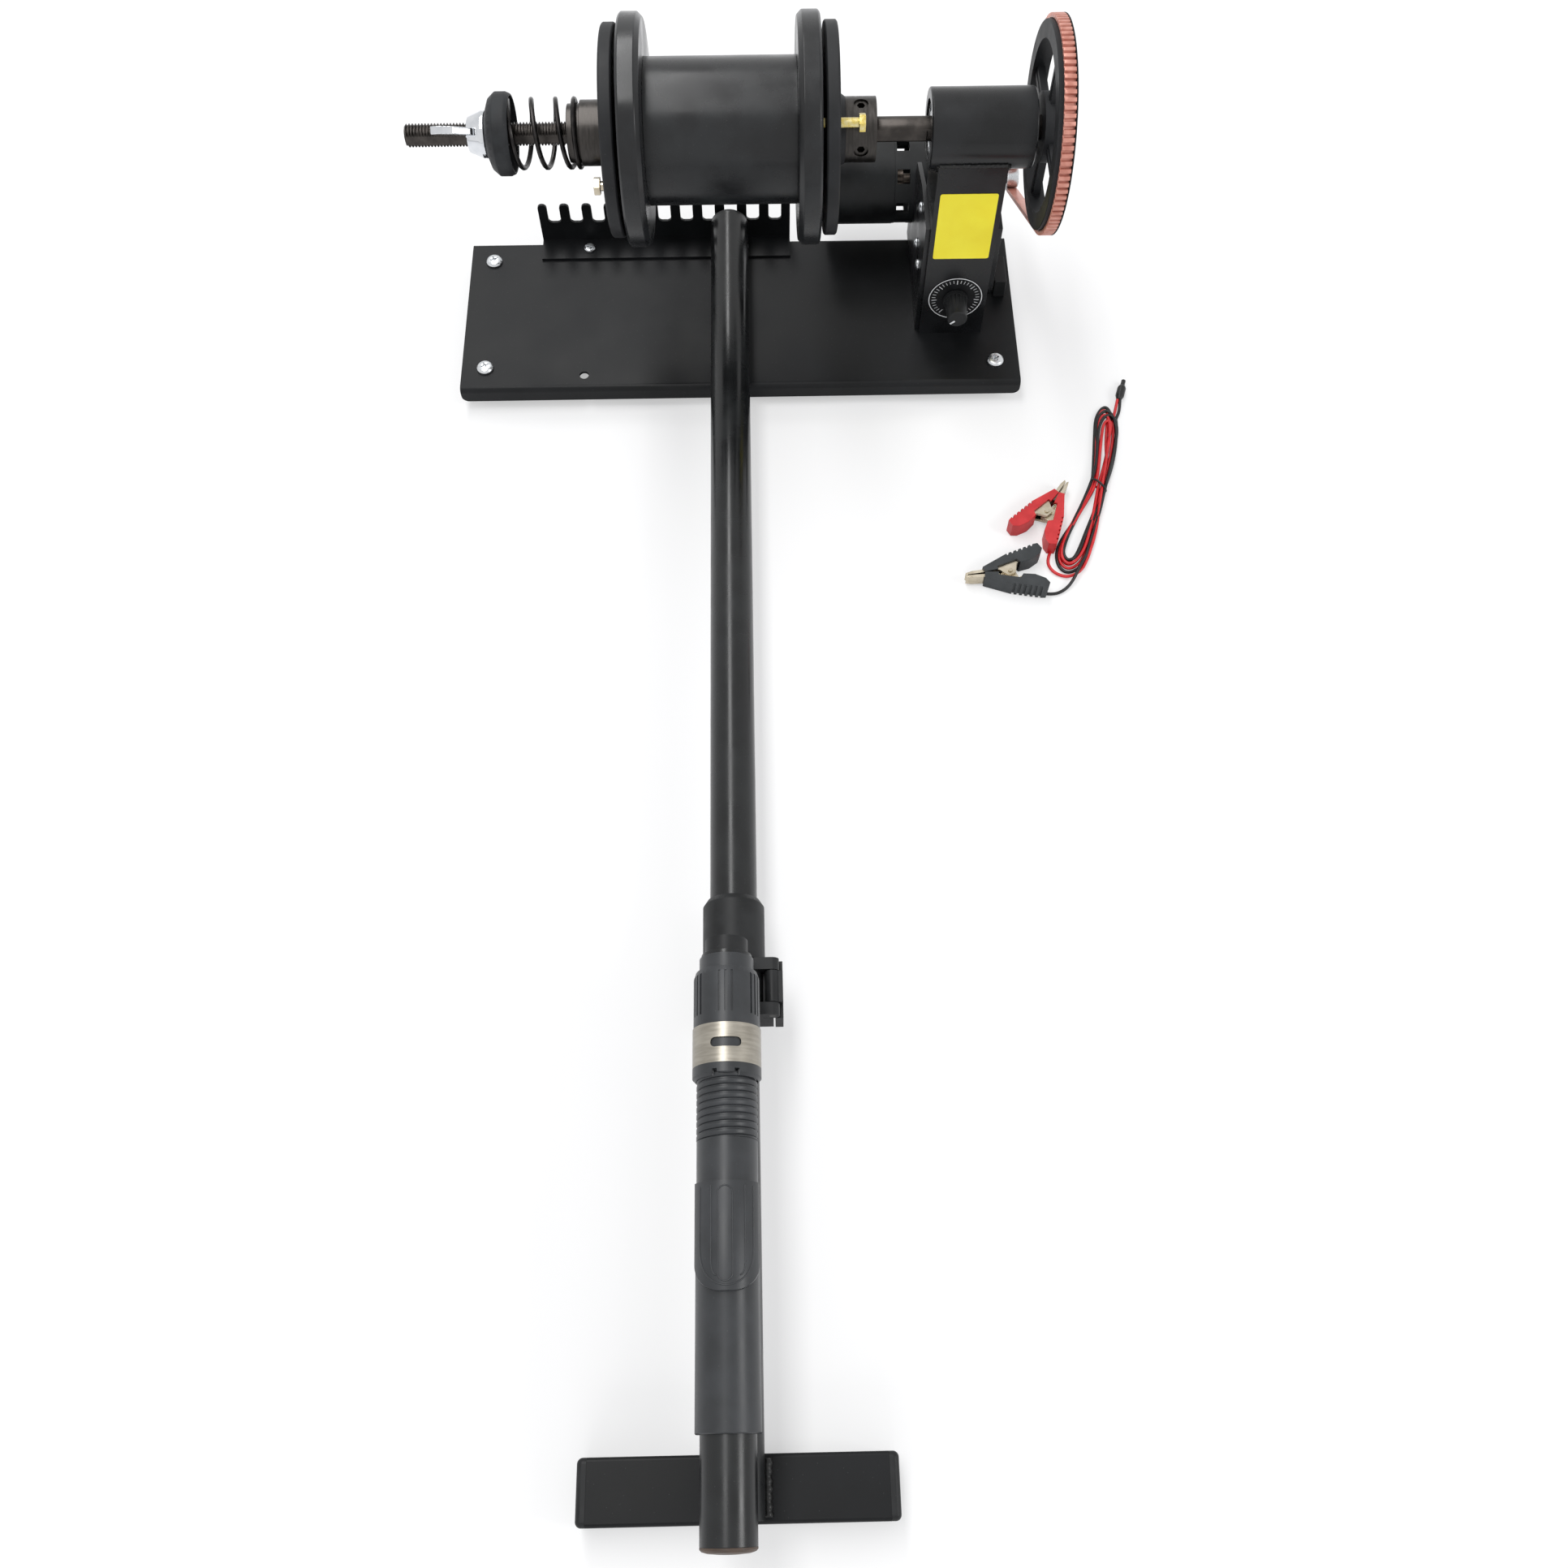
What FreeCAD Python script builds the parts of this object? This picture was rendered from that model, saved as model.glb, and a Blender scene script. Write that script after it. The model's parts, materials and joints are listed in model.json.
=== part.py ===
import FreeCAD, Part
import math
import os
import Sketcher
from FreeCAD import Placement, Rotation, Vector

# Motorised fishing line winder. Millimetres, +Z up, -Y towards the user, +X towards the belt side.
# Every place below is measured from the middle of the base plate, on the floor (z = 0), and
# place() then moves it so that the origin is the bottom centre of the whole winder.

DRIVING = {
    # base plate: folded sheet on four rubber feet
    "plateWidth": 400, "plateDepth": 141, "plateSheet": 2, "plateTop": 20, "lipDrop": 12,
    "bendRadius": 4, "lipCorner": 5, "footInsetX": 17, "footInsetY": 19.5, "footRadius": 11,
    "footTaper": 1.2, "footFloor": 4, "screwHeadRadius": 6, "screwHeadHeight": 3.4, "screwRadius": 3,
    "screwLength": 14, "holeGap": 0.3, "threadGap": 0.05, "pressGap": 0.01, "edgeBreak": 0.5,
    # line comb
    "combLength": 185.3, "combCentre": -54.7, "combFlange": 21, "combSheet": 2, "combHeight": 34.5,
    "combOverhang": 2.4, "slotPitch": 16.3, "slotWidth": 9.2, "slotDepth": 16, "slotCorner": 3,
    "toothRound": 3.1, "combEndTooth": 5, "combScrewSpan": 114.6, "combScrewSetback": 12,
    "combHoleRadius": 3.25, "combScrewRadius": 2.5, "combHeadRadius": 4.2, "combHeadHeight": 2.8,
    "combSlot": 1, "combNutAcross": 8, "combNutHeight": 4, "frontHoleInset": 12.2,
    # arm, foot bar and reel-seat pipe
    "pipeRadius": 13.6, "pipeWall": 2, "armX": -7, "armSetback": 5, "capWall": 2, "capDome": 4,
    "capPlug": 10, "barY": -776.3, "barLength": 152, "barDepth": 31.8, "barHeight": 25.4,
    "barWall": 1.6, "barRound": 2, "barCap": 5, "armLap": 2, "saddleWidth": 22, "saddleLength": 16,
    "saddleRise": 5, "saddleInset": 27.5, "standoffWidth": 14, "standoffLength": 34, "boltRadius": 3,
    "boltHeadAcross": 10, "boltHeadHeight": 4, "boltReach": 9, "seatRise": 39, "seatOffset": -3,
    "seatRear": -799.5, "seatFront": -516, "plugDome": 3,
    # reel seat
    "seatBodyRear": -752.5, "gripRadius": 16, "gripLength": 62.5, "hoodRadius": 17.3,
    "hoodLength": 51.8, "hoodLift": 2.5, "hoodCorner": 13, "pocketWidth": 14, "pocketHeight": 2.6,
    "pocketDepth": 14, "plainRadius": 15.7, "plainLength": 22.2, "threadRadius": 15.9,
    "threadLength": 89.7, "neckRadius": 14.6, "neckLength": 8, "nutLength": 31.1, "nutRadius": 17.65,
    "nutGroove": 0.8, "nutGrooveWidth": 1.1, "ringLength": 21, "ringRadius": 18.1, "ringWall": 1,
    "slideChamfer": 1.6, "nutGroups": 6, "nutGrooveStep": 11, "nutGrooveLength": 22.4,
    "nutNose": 3.7, "nutChamfer": 1.2, "hoodRoot": 1, "slideLength": 6.6, "slideGap": 0.3,
    "windowLength": 16, "windowWidth": 5,
    # clamp that holds the front of the reel-seat pipe to the arm
    "collarFront": -470, "collarLength": 38, "collarRadius": 17.7, "collarChamfer": 4,
    "collarLip": 1.6, "bandLength": 33, "bandRadius": 17, "riserWidth": 20, "riserThick": 8,
    "riserTop": 5, "webReach": 22, "webDrop": 12, "leverPinX": 21.5, "leverPinZ": 9,
    "leverPinRadius": 2, "leverBarrel": 4,
    "lugLength": 7, "leverPlate": 4.5, "leverDrop": 24, "leverReach": 2, "leverGap": 0.4,
    "spigotLength": 20,
    # post and bearing housing
    "axisY": -1.5, "axisZ": 178, "postInset": 47.9, "postY": -1.5, "postWidth": 44.8, "postWall": 2,
    "postFloor": 6, "housingLead": 28.5, "housingBreak": 0.8, "housingLength": 66.4,
    "housingRadius": 24.2, "raceRadius": 17.5, "raceWidth": 11, "raceWall": 3, "ballRadius": 2.9,
    "ballCount": 9, "ballGap": 0.04, "journalRadius": 7.5, "shoulderStep": 1.5,
    # spindle
    "rodTip": -207.3, "rodRadius": 7, "rodFlat": 1.8, "boreGap": 0.05, "nutGap": 0.08,
    "rodChamfer": 1, "hubRecess": 3.2, "wheelScrewLength": 10, "wheelScrewRoom": 2, "washerExtra": 2,
    "washerThick": 1, "wheelScrewHead": 2, "spoolCentre": -7.3, "spoolWidth": 123, "spoolRadius": 68,
    "rimWidth": 14.3, "rimChamfer": 3, "rimEdge": 1.5, "barrelRadius": 43.2, "barrelWall": 3.5,
    "discRadius": 62.3, "discWidth": 8.4, "discRound": 1, "padRadius": 26, "padWidth": 2.3,
    "shoulderRadius": 23, "shoulderWidth": 5.2, "collarLongRadius": 19.3, "collarLongLength": 19.5,
    "leftCollarLength": 16.6, "stepRadius": 17.2, "stepLength": 8.1, "setScrewRadius": 4.5,
    "setScrewLength": 8, "setScrewSink": 1.5, "driveBoltPitch": 32, "driveBoltAngle": 47,
    "driveBoltLeftAngle": -34, "driveBoltEnter": 6, "driveBoltStand": 12.5,
    "driveBoltLeftStand": 6, "springWire": 1.6, "springGap": 1, "springPitch": 14.8,
    "cupRadius": 24.6, "cupLeft": -156, "cupWidth": 16.4, "cupWall": 2.6, "cupFloor": 6.5,
    "wingHubRadius": 14, "wingHubLength": 11.5, "wingNeckRadius": 10.5, "wingReach": 25,
    "wingThick": 4.6, "wingAngle": 47,
    # drive wheel, belt and motor
    "wheelWidth": 10.9, "wheelGap": 4.4, "rimOuter": 61.2, "rimInner": 50.5, "wheelLip": 0.6,
    "hubRadius": 21, "spokeWidth": 9, "spokeThick": 5, "spokeLap": 1, "spokeRib": 3, "ribProud": 0.8,
    "beltWidth": 7.2, "beltThick": 3, "beltGap": 0.3, "beltInset": 2.8, "motorY": 81, "motorZ": 65,
    "motorRadius": 30, "motorLength": 112.5, "canLength": 50.6, "canWall": 2, "bellSpigot": 4,
    "bellWall": 4, "bellFace": 6, "bellStep": 0.3, "rotorSpace": 6, "commutatorRadius": 9,
    "commutatorLength": 14, "ventWidth": 9.6, "ventInset": 1.5, "ventLength": 9, "ventDepth": 4,
    "ventCount": 8, "rotorRadius": 21, "rotorLength": 34, "motorShaftRadius": 4, "pulleyRadius": 6.5,
    "pulleyLength": 8.9, "flangeRise": 2, "flangeThick": 0.8, "cheekThick": 3, "faceThick": 4,
    "cheekScrewRadius": 2, "cheekHeadRadius": 3.6, "cheekHeadHeight": 2.2, "cheekInset": 4,
    "cheekRise": 18, "cheekCorner": 12, "faceInset": 1, "cheekScrewDrop": 9,
    # speed control and power inlet
    "knobOffset": 0.4, "knobZ": 54, "knobRadius": 8, "knobTipRadius": 6.9, "knobLength": 19,
    "knobFlute": 0.7, "potRadius": 8, "potLength": 9, "bushRadius": 3.5, "bushReach": 5,
    "potShaftRadius": 2.4, "potGap": 0.2, "bushNutHeight": 2, "bushNutAcross": 10.5, "knobGap": 0.8,
    "knobSkirt": 3, "knobSkirtLip": 0.6, "knobRecess": 6.6, "knobTip": 4, "fluteCount": 18,
    "boardWidth": 34, "boardHeight": 70, "boardThick": 1.6, "inletInset": 9.7, "inletY": 22.5,
    "inletWidth": 8.6, "inletDepth": 25, "inletHeight": 15, "jackRadius": 1.95, "jackDepth": 7,
    # battery lead
    "wireRadius": 1.1, "hankHeight": 7, "plugRadius": 3.1, "plugBarrelRadius": 1.6, "plugLength": 13,
    "plugBarrelLength": 5.6, "clipHeight": 12, "clipLength": 56, "clipSpread": 16,
    "clipPinRadius": 1.5, "gripRib": 1.4, "jawThick": 1.6,
}

doc = FreeCAD.newDocument("line_winder")
sheet = doc.addObject("Spreadsheet::Sheet", "dims")
for row, (alias, number) in enumerate(DRIVING.items(), start=1):
    sheet.set(f"A{row}", alias)
    sheet.set(f"B{row}", str(number))
    sheet.setAlias(f"B{row}", alias)
doc.recompute()


class Size:
    """A number together with the spreadsheet formula that it comes from."""

    def __init__(self, value, formula):
        self.value = value
        self.formula = formula

    def __float__(self):
        return float(self.value)

    def joined(self, other, sign, value, swapped=False):
        first, second = (formula(other), formula(self)) if swapped else (formula(self), formula(other))
        return Size(value, f"({first} {sign} {second})")

    def __add__(self, other):
        return self.joined(other, "+", float(self) + float(other))

    def __radd__(self, other):
        return self.joined(other, "+", float(other) + float(self), swapped=True)

    def __sub__(self, other):
        return self.joined(other, "-", float(self) - float(other))

    def __rsub__(self, other):
        return self.joined(other, "-", float(other) - float(self), swapped=True)

    def __mul__(self, other):
        return self.joined(other, "*", float(self) * float(other))

    def __rmul__(self, other):
        return self.joined(other, "*", float(other) * float(self), swapped=True)

    def __truediv__(self, other):
        return self.joined(other, "/", float(self) / float(other))

    def __neg__(self):
        return Size(-float(self), f"(0 - {self.formula})")


def formula(value):
    """What an expression writes for a size or a plain number."""
    if isinstance(value, Size):
        return value.formula
    return f"({float(value):.6f})" if value < 0 else f"{float(value):.6f}"


class Sheet:
    """Reads a driving size by its alias, as size.plateWidth."""

    def __getattr__(self, alias):
        return Size(float(sheet.get(alias)), f"dims.{alias}")


size = Sheet()
parts = []


# ---------------------------------------------------------------- places shared by several pieces
armZ = size.barHeight + size.pipeRadius
armBack = size.plateDepth / 2 - size.armSetback
armFront = size.barY - size.barDepth / 2 + size.armLap
seatX = size.armX + size.seatOffset
seatZ = armZ + size.seatRise
hoodRear = size.seatBodyRear + size.gripLength
hoodFront = hoodRear + size.hoodLength
threadRear = hoodFront + size.plainLength
threadFront = threadRear + size.threadLength
nutRear = threadFront - size.nutLength
ringRear = nutRear - size.ringLength
collarRear = size.collarFront - size.collarLength
bandRear = collarRear - size.bandLength
postTop = size.axisZ
postX = size.plateWidth / 2 - size.postInset
postSide = postX + size.postWidth / 2
postFace = size.postY - size.postWidth / 2
housingLeft = postX - size.housingLead
housingRight = housingLeft + size.housingLength
motorLeft = postSide - size.motorLength
knobX = postX + size.knobOffset
inletX = size.plateWidth / 2 - size.inletInset
spoolLeft = size.spoolCentre - size.spoolWidth / 2
spoolRight = size.spoolCentre + size.spoolWidth / 2
discLeftFace = spoolLeft - size.padWidth - size.discWidth
discRightFace = spoolRight + size.padWidth + size.discWidth
collarRightStart = discRightFace + size.shoulderWidth
stepStart = discLeftFace - size.leftCollarLength - size.stepLength
springRadius = size.stepRadius + size.springGap + size.springWire
wheelLeft = housingRight + size.wheelGap
wheelRight = wheelLeft + size.wheelWidth
beltLeft = wheelLeft + size.beltInset
frontReach = -size.seatRear + size.plugDome
backReach = size.motorY + size.motorRadius
midX = (-size.rodTip - wheelRight) / 2
midY = (frontReach - backReach) / 2
boreRadius = size.rodRadius + size.boreGap


# ---------------------------------------------------------------- small helpers
def bind(thing, **properties):
    for name, value in properties.items():
        if isinstance(value, Size):
            thing.setExpression(name, value.formula)
        else:
            setattr(thing, name, value)


def place(thing, x, y, z, rotation=None):
    """Puts a piece at a place given from the middle of the base plate."""
    if rotation is not None:
        thing.Placement = Placement(Vector(), rotation)
    thing.setExpression("Placement.Base.x", formula(midX + x))
    thing.setExpression("Placement.Base.y", formula(midY + y))
    thing.setExpression("Placement.Base.z", formula(z))
    return thing


def part(thing, name):
    """Names a finished piece and puts it on the list of files."""
    thing.Label = name
    parts.append(thing)
    return thing


def new_body(name):
    return doc.addObject("PartDesign::Body", name)


def new_sketch(body, role):
    sketch = body.newObject("Sketcher::SketchObject", body.Name + "Sketch")
    plane = [item for item in body.Origin.OriginFeatures if item.Role == role][0]
    sketch.AttachmentSupport = (plane, "")
    sketch.MapMode = "FlatFace"
    return sketch


def fix_point(sketch, geometry, point, x, y):
    """Holds a sketch point at a distance from the sketch's origin."""
    for kind, value in (("DistanceX", x), ("DistanceY", y)):
        index = sketch.addConstraint(Sketcher.Constraint(kind, -1, 1, geometry, point, float(value)))
        if isinstance(value, Size):
            sketch.setExpression(f"Constraints[{index}]", value.formula)


def add_polygon(sketch, points):
    first = sketch.GeometryCount
    count = len(points)
    corners = [Vector(float(x), float(y), 0) for x, y in points]
    sketch.addGeometry([Part.LineSegment(corners[i], corners[(i + 1) % count]) for i in range(count)])
    for i in range(count):
        sketch.addConstraint(
            Sketcher.Constraint("Coincident", first + i, 2, first + (i + 1) % count, 1))
    for i, (x, y) in enumerate(points):
        fix_point(sketch, first + i, 1, x, y)


def add_circle(sketch, x, y, radius):
    index = sketch.addGeometry(Part.Circle(Vector(float(x), float(y), 0), Vector(0, 0, 1), float(radius)))
    fix_point(sketch, index, 3, x, y)
    held = sketch.addConstraint(Sketcher.Constraint("Radius", index, float(radius)))
    if isinstance(radius, Size):
        sketch.setExpression(f"Constraints[{held}]", radius.formula)


def rectangle(left, bottom, right, top):
    return [(left, bottom), (right, bottom), (right, top), (left, top)]


def turned(name, along, profile):
    """A body of revolution. The profile lists (distance along the axis, radius) pairs."""
    body = new_body(name)
    sketch = new_sketch(body, "YZ_Plane" if along == "Y" else "XZ_Plane")
    if along == "Z":
        add_polygon(sketch, [(radius, distance) for distance, radius in profile])
    else:
        add_polygon(sketch, profile)
    feature = body.newObject("PartDesign::Revolution", name + "Turned")
    feature.Profile = sketch
    feature.ReferenceAxis = (sketch, ["V_Axis" if along == "Z" else "H_Axis"])
    feature.Angle = 360
    return body


def tube(name, along, inner, outer, length):
    return turned(name, along, [(0, inner), (length, inner), (length, outer), (0, outer)])


def padded(name, role, outlines, length, symmetric=False, circles=()):
    """A body padded from closed outlines on one of its origin planes."""
    body = new_body(name)
    sketch = new_sketch(body, role)
    for points in outlines:
        add_polygon(sketch, points)
    for x, y, radius in circles:
        add_circle(sketch, x, y, radius)
    feature = body.newObject("PartDesign::Pad", name + "Pad")
    feature.Profile = sketch
    bind(feature, Length=length)
    if symmetric:
        feature.SideType = "Symmetric"
    return body


def pocket(body, role, outlines=(), circles=()):
    """Cuts outlines right through a body, along the normal of an origin plane."""
    doc.recompute()
    before = body.Shape.Volume
    sketch = new_sketch(body, role)
    for points in outlines:
        add_polygon(sketch, points)
    for x, y, radius in circles:
        add_circle(sketch, x, y, radius)
    feature = body.newObject("PartDesign::Pocket", sketch.Name + "Pocket")
    feature.Profile = sketch
    feature.Type = "ThroughAll"
    feature.SideType = "Symmetric"
    doc.recompute()
    if body.Shape.Volume >= before:
        raise RuntimeError(f"{body.Name}: the pocket cuts nothing")
    return feature


def round_edges(body, radius, wanted, kind="Fillet"):
    """Fillets or chamfers the edges of a body that a test picks."""
    doc.recompute()
    tip = body.Tip
    names = [f"Edge{i}" for i, edge in enumerate(tip.Shape.Edges, start=1) if wanted(edge)]
    feature = body.newObject(f"PartDesign::{kind}", body.Name + kind)
    feature.Base = (tip, names)
    if kind == "Fillet":
        bind(feature, Radius=radius)
    else:
        bind(feature, Size=radius)
    return feature


def ends(edge):
    return edge.Vertexes[0].Point, edge.Vertexes[-1].Point


def runs_along(edge, axis):
    """True for a straight edge that is parallel to an axis."""
    if edge.Curve.TypeId != "Part::GeomLine" or len(edge.Vertexes) < 2:
        return False
    first, last = ends(edge)
    step = (last - first).normalize()
    return abs(getattr(step, axis)) > 0.999


def near(value, target):
    return abs(float(value) - float(target)) < 0.01


def box(width, depth, height):
    """A box whose origin is the middle of its bottom face."""
    return padded("block", "XY_Plane", [rectangle(-width / 2, -depth / 2, width / 2, depth / 2)], height)


def rod(along, radius, length):
    return turned("pin", along, [(0, 0), (length, 0), (length, radius), (0, radius)])


def cut(base, tools):
    result = doc.addObject("Part::Cut", base.Name + "Cut")
    result.Base = base
    result.Tool = tools[0] if len(tools) == 1 else fused(tools)
    return result


def fused(pieces):
    result = doc.addObject("Part::MultiFuse", pieces[0].Name + "Fused")
    result.Shapes = pieces
    return result


def common(pieces):
    result = doc.addObject("Part::MultiCommon", pieces[0].Name + "Common")
    result.Shapes = pieces
    return result


def group(pieces):
    result = doc.addObject("Part::Compound", pieces[0].Name + "Group")
    result.Links = pieces
    return result


def copy_of(thing, x, y, z, rotation=Rotation()):
    """Another copy of a piece, at its own place."""
    link = doc.addObject("App::Link", thing.Name + "Copy")
    link.LinkedObject = thing
    return place(link, x, y, z, rotation)


def hexagon(across, start=0.0):
    corner = float(across) / math.sqrt(3)
    angles = [math.radians(start + 60 * i) for i in range(6)]
    return [(across / math.sqrt(3) * math.cos(a), across / math.sqrt(3) * math.sin(a)) for a in angles]


def ring_place(radius, degrees):
    """Where a point of a circle round the spindle lies, from -Y upwards."""
    angle = math.radians(float(degrees))
    return size.axisY - radius * math.cos(angle), size.axisZ + radius * math.sin(angle)


# ---------------------------------------------------------------- base
def make_base_plate():
    half = size.plateDepth / 2
    inner = half - size.plateSheet
    section = [(-half, -size.lipDrop), (-half, 0), (half, 0), (half, -size.lipDrop),
               (inner, -size.lipDrop), (inner, -size.plateSheet),
               (-inner, -size.plateSheet), (-inner, -size.lipDrop)]
    body = padded("base_plate", "YZ_Plane", [section], size.plateWidth, symmetric=True)
    round_edges(body, size.bendRadius,
                lambda e: runs_along(e, "x") and near(ends(e)[0].z, 0))
    round_edges(body, size.bendRadius - size.plateSheet,
                lambda e: runs_along(e, "x") and near(ends(e)[0].z, -float(size.plateSheet)))
    round_edges(body, size.lipCorner,
                lambda e: runs_along(e, "y") and near(ends(e)[0].z, -float(size.lipDrop)))
    holes = []
    for x in (-1, 1):
        for y in (-1, 1):
            holes.append((x * (size.plateWidth / 2 - size.footInsetX),
                          y * (half - size.footInsetY), size.screwRadius + size.holeGap))
    for x in (-1, 1):
        screw_x = size.combCentre + x * size.combScrewSpan / 2
        holes.append((screw_x, half + size.combOverhang - size.combScrewSetback, size.combHoleRadius))
        holes.append((screw_x, size.frontHoleInset - half, size.combHoleRadius))
    for x, y in bolt_places():
        holes.append((x, y, size.boltRadius + size.holeGap))
    pocket(body, "XY_Plane", circles=holes)
    part(place(body, 0, 0, size.plateTop), "base_plate")


def bolt_places():
    """The hexagon bolts that come up through the plate, two for the arm and two for the post."""
    spread = size.postWidth / 4
    saddle_y = size.plateDepth / 2 - size.saddleInset
    return [(size.armX, -saddle_y), (size.armX, saddle_y),
            (postX - spread, size.postY), (postX + spread, size.postY)]


def make_feet():
    height = size.plateTop - size.plateSheet
    bore = size.screwRadius + size.threadGap
    foot = turned("foot", "Z", [(0, 0), (0, size.footRadius - size.footTaper),
                                (height, size.footRadius), (height, bore),
                                (size.footFloor, bore), (size.footFloor, 0)])
    screw = turned("foot_screw", "Z", pan_head(size.screwHeadRadius, size.screwHeadHeight,
                                               size.screwRadius, size.screwLength))
    corner_x = size.plateWidth / 2 - size.footInsetX
    corner_y = size.plateDepth / 2 - size.footInsetY
    feet = [copy_of(foot, x * corner_x, y * corner_y, 0) for x in (-1, 1) for y in (-1, 1)]
    screws = [copy_of(screw, x * corner_x, y * corner_y, size.plateTop)
              for x in (-1, 1) for y in (-1, 1)]
    part(group(feet), "rubber_feet")
    return screws


def pan_head(head, height, shank, length):
    """A pan-head screw standing on z = 0, with a cross recess left as a small dimple."""
    return [(-length, 0), (-length, shank - size.edgeBreak), (size.edgeBreak - length, shank),
            (0, shank), (0, head), (height * 0.45, head), (height * 0.85, head * 0.8),
            (height, head * 0.45), (height, head * 0.2), (height * 0.5, 0)]


def make_comb():
    back = size.plateDepth / 2 + size.combOverhang
    section = [(-size.combFlange, 0), (0, 0), (0, size.combHeight), (-size.combSheet, size.combHeight),
               (-size.combSheet, size.combSheet), (-size.combFlange, size.combSheet)]
    body = padded("line_comb", "YZ_Plane", [section], size.combLength, symmetric=True)
    bottom = size.combHeight - size.slotDepth
    over = size.combHeight + size.combSheet
    # as many slots as fit between the two end teeth
    room = float(size.combLength - 2 * size.combEndTooth + size.slotPitch - size.slotWidth)
    count = int(room // float(size.slotPitch))
    slots = []
    for i in range(count):
        middle = (i - (count - 1) / 2) * size.slotPitch
        slots.append(rectangle(middle - size.slotWidth / 2, bottom, middle + size.slotWidth / 2, over))
    pocket(body, "XZ_Plane", slots)
    round_edges(body, size.slotCorner,
                lambda e: runs_along(e, "y") and near(ends(e)[0].z, bottom))
    round_edges(body, size.toothRound,
                lambda e: runs_along(e, "y") and near(ends(e)[0].z, size.combHeight))
    holes = [(x * size.combScrewSpan / 2, -size.combScrewSetback, size.combScrewRadius + size.holeGap)
             for x in (-1, 1)]
    pocket(body, "XY_Plane", circles=holes)
    part(place(body, size.combCentre, back, size.plateTop), "line_comb")

    screw = turned("comb_screw", "Z", [
        (-size.screwLength, 0), (-size.screwLength, size.combScrewRadius), (0, size.combScrewRadius),
        (0, size.combHeadRadius), (size.combHeadHeight * 0.7, size.combHeadRadius),
        (size.combHeadHeight, size.combHeadRadius * 0.7), (size.combHeadHeight, 0)])
    slotted = cut(screw, [box(size.combHeadRadius * 3, size.combSlot, size.combHeadHeight * 2)])
    slotted.Tool.Placement = Placement(Vector(0, 0, float(size.combHeadHeight) * 0.55), Rotation())
    nut = padded("comb_nut", "XY_Plane", [hexagon(size.combNutAcross)], size.combNutHeight,
                 circles=[(0, 0, size.combScrewRadius + size.threadGap)])
    row = back - size.combScrewSetback
    seat = size.plateTop + size.combSheet
    under = size.plateTop - size.plateSheet - size.combNutHeight
    fasteners = []
    for x in (-1, 1):
        across = size.combCentre + x * size.combScrewSpan / 2
        fasteners.append(copy_of(slotted, across, row, seat, Rotation(Vector(0, 0, 1), 25 * x)))
        fasteners.append(copy_of(nut, across, row, under))
    part(group(fasteners), "comb_screws")


# ---------------------------------------------------------------- arm, foot bar, reel-seat pipe
def make_arm():
    inner = size.pipeRadius - size.pipeWall
    pipe = tube("arm_pipe", "Y", inner, size.pipeRadius, armBack - armFront)
    place(pipe, size.armX, armFront, armZ)
    drills = [place(rod("Z", size.boltRadius + size.threadGap, size.pipeRadius), x, y, size.plateTop)
              for x, y in bolt_places()[:2]]
    part(cut(pipe, drills), "arm_tube")

    cap = domed_cap("arm_cap", inner, size.pipeRadius, size.capPlug, size.capDome)
    part(place(cap, size.armX, armBack, armZ), "arm_end_cap")

    part(group(make_saddles() + [make_standoff()]), "tube_saddles")
    part(group(make_base_bolts()), "base_bolts")


def domed_cap(name, inner, outer, plug, dome):
    """A push-in cap for a pipe's end: a hollow plug with a domed head, along +Y."""
    fit = inner - size.threadGap
    core = fit - size.capWall
    return turned(name, "Y", [
        (-plug, core), (-plug, fit), (0, fit), (0, outer), (dome * 0.3, outer),
        (dome * 0.62, outer * 0.93), (dome * 0.85, outer * 0.75), (dome, outer * 0.4), (dome, 0),
        (0, 0), (0, core)])


def make_saddles():
    saddles = []
    for x, y in bolt_places()[:2]:
        top = size.barHeight - size.plateTop + size.saddleRise
        block = place(box(size.saddleWidth, size.saddleLength, top), x, y, size.plateTop)
        bed = place(rod("Y", size.pipeRadius + size.threadGap, size.saddleLength * 2),
                    x, y - size.saddleLength, armZ)
        drill = place(rod("Z", size.boltRadius + size.threadGap, top * 2), x, y, size.plateTop - top / 2)
        saddles.append(cut(block, [bed, drill]))
    return saddles


def make_standoff():
    """The block between the arm and the reel-seat pipe, over the foot bar."""
    middle = size.barY + size.armLap
    block = place(box(size.standoffWidth, size.standoffLength, size.seatRise),
                  size.armX + size.seatOffset / 2, middle, armZ)
    start = middle - size.standoffLength
    bed = size.pipeRadius + size.threadGap
    lower = place(rod("Y", bed, size.standoffLength * 2), size.armX, start, armZ)
    upper = place(rod("Y", bed, size.standoffLength * 2), seatX, start, seatZ)
    return cut(block, [lower, upper])


def make_base_bolts():
    shank = size.plateSheet + size.boltReach
    bolt = fused([padded("bolt_head", "XY_Plane", [hexagon(size.boltHeadAcross)], size.boltHeadHeight),
                  turned("bolt_shank", "Z", [(size.boltHeadHeight, 0), (size.boltHeadHeight + shank, 0),
                                             (size.boltHeadHeight + shank, size.boltRadius),
                                             (size.boltHeadHeight, size.boltRadius)])])
    under = size.plateTop - size.plateSheet - size.boltHeadHeight
    return [copy_of(bolt, x, y, under) for x, y in bolt_places()]


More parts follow.
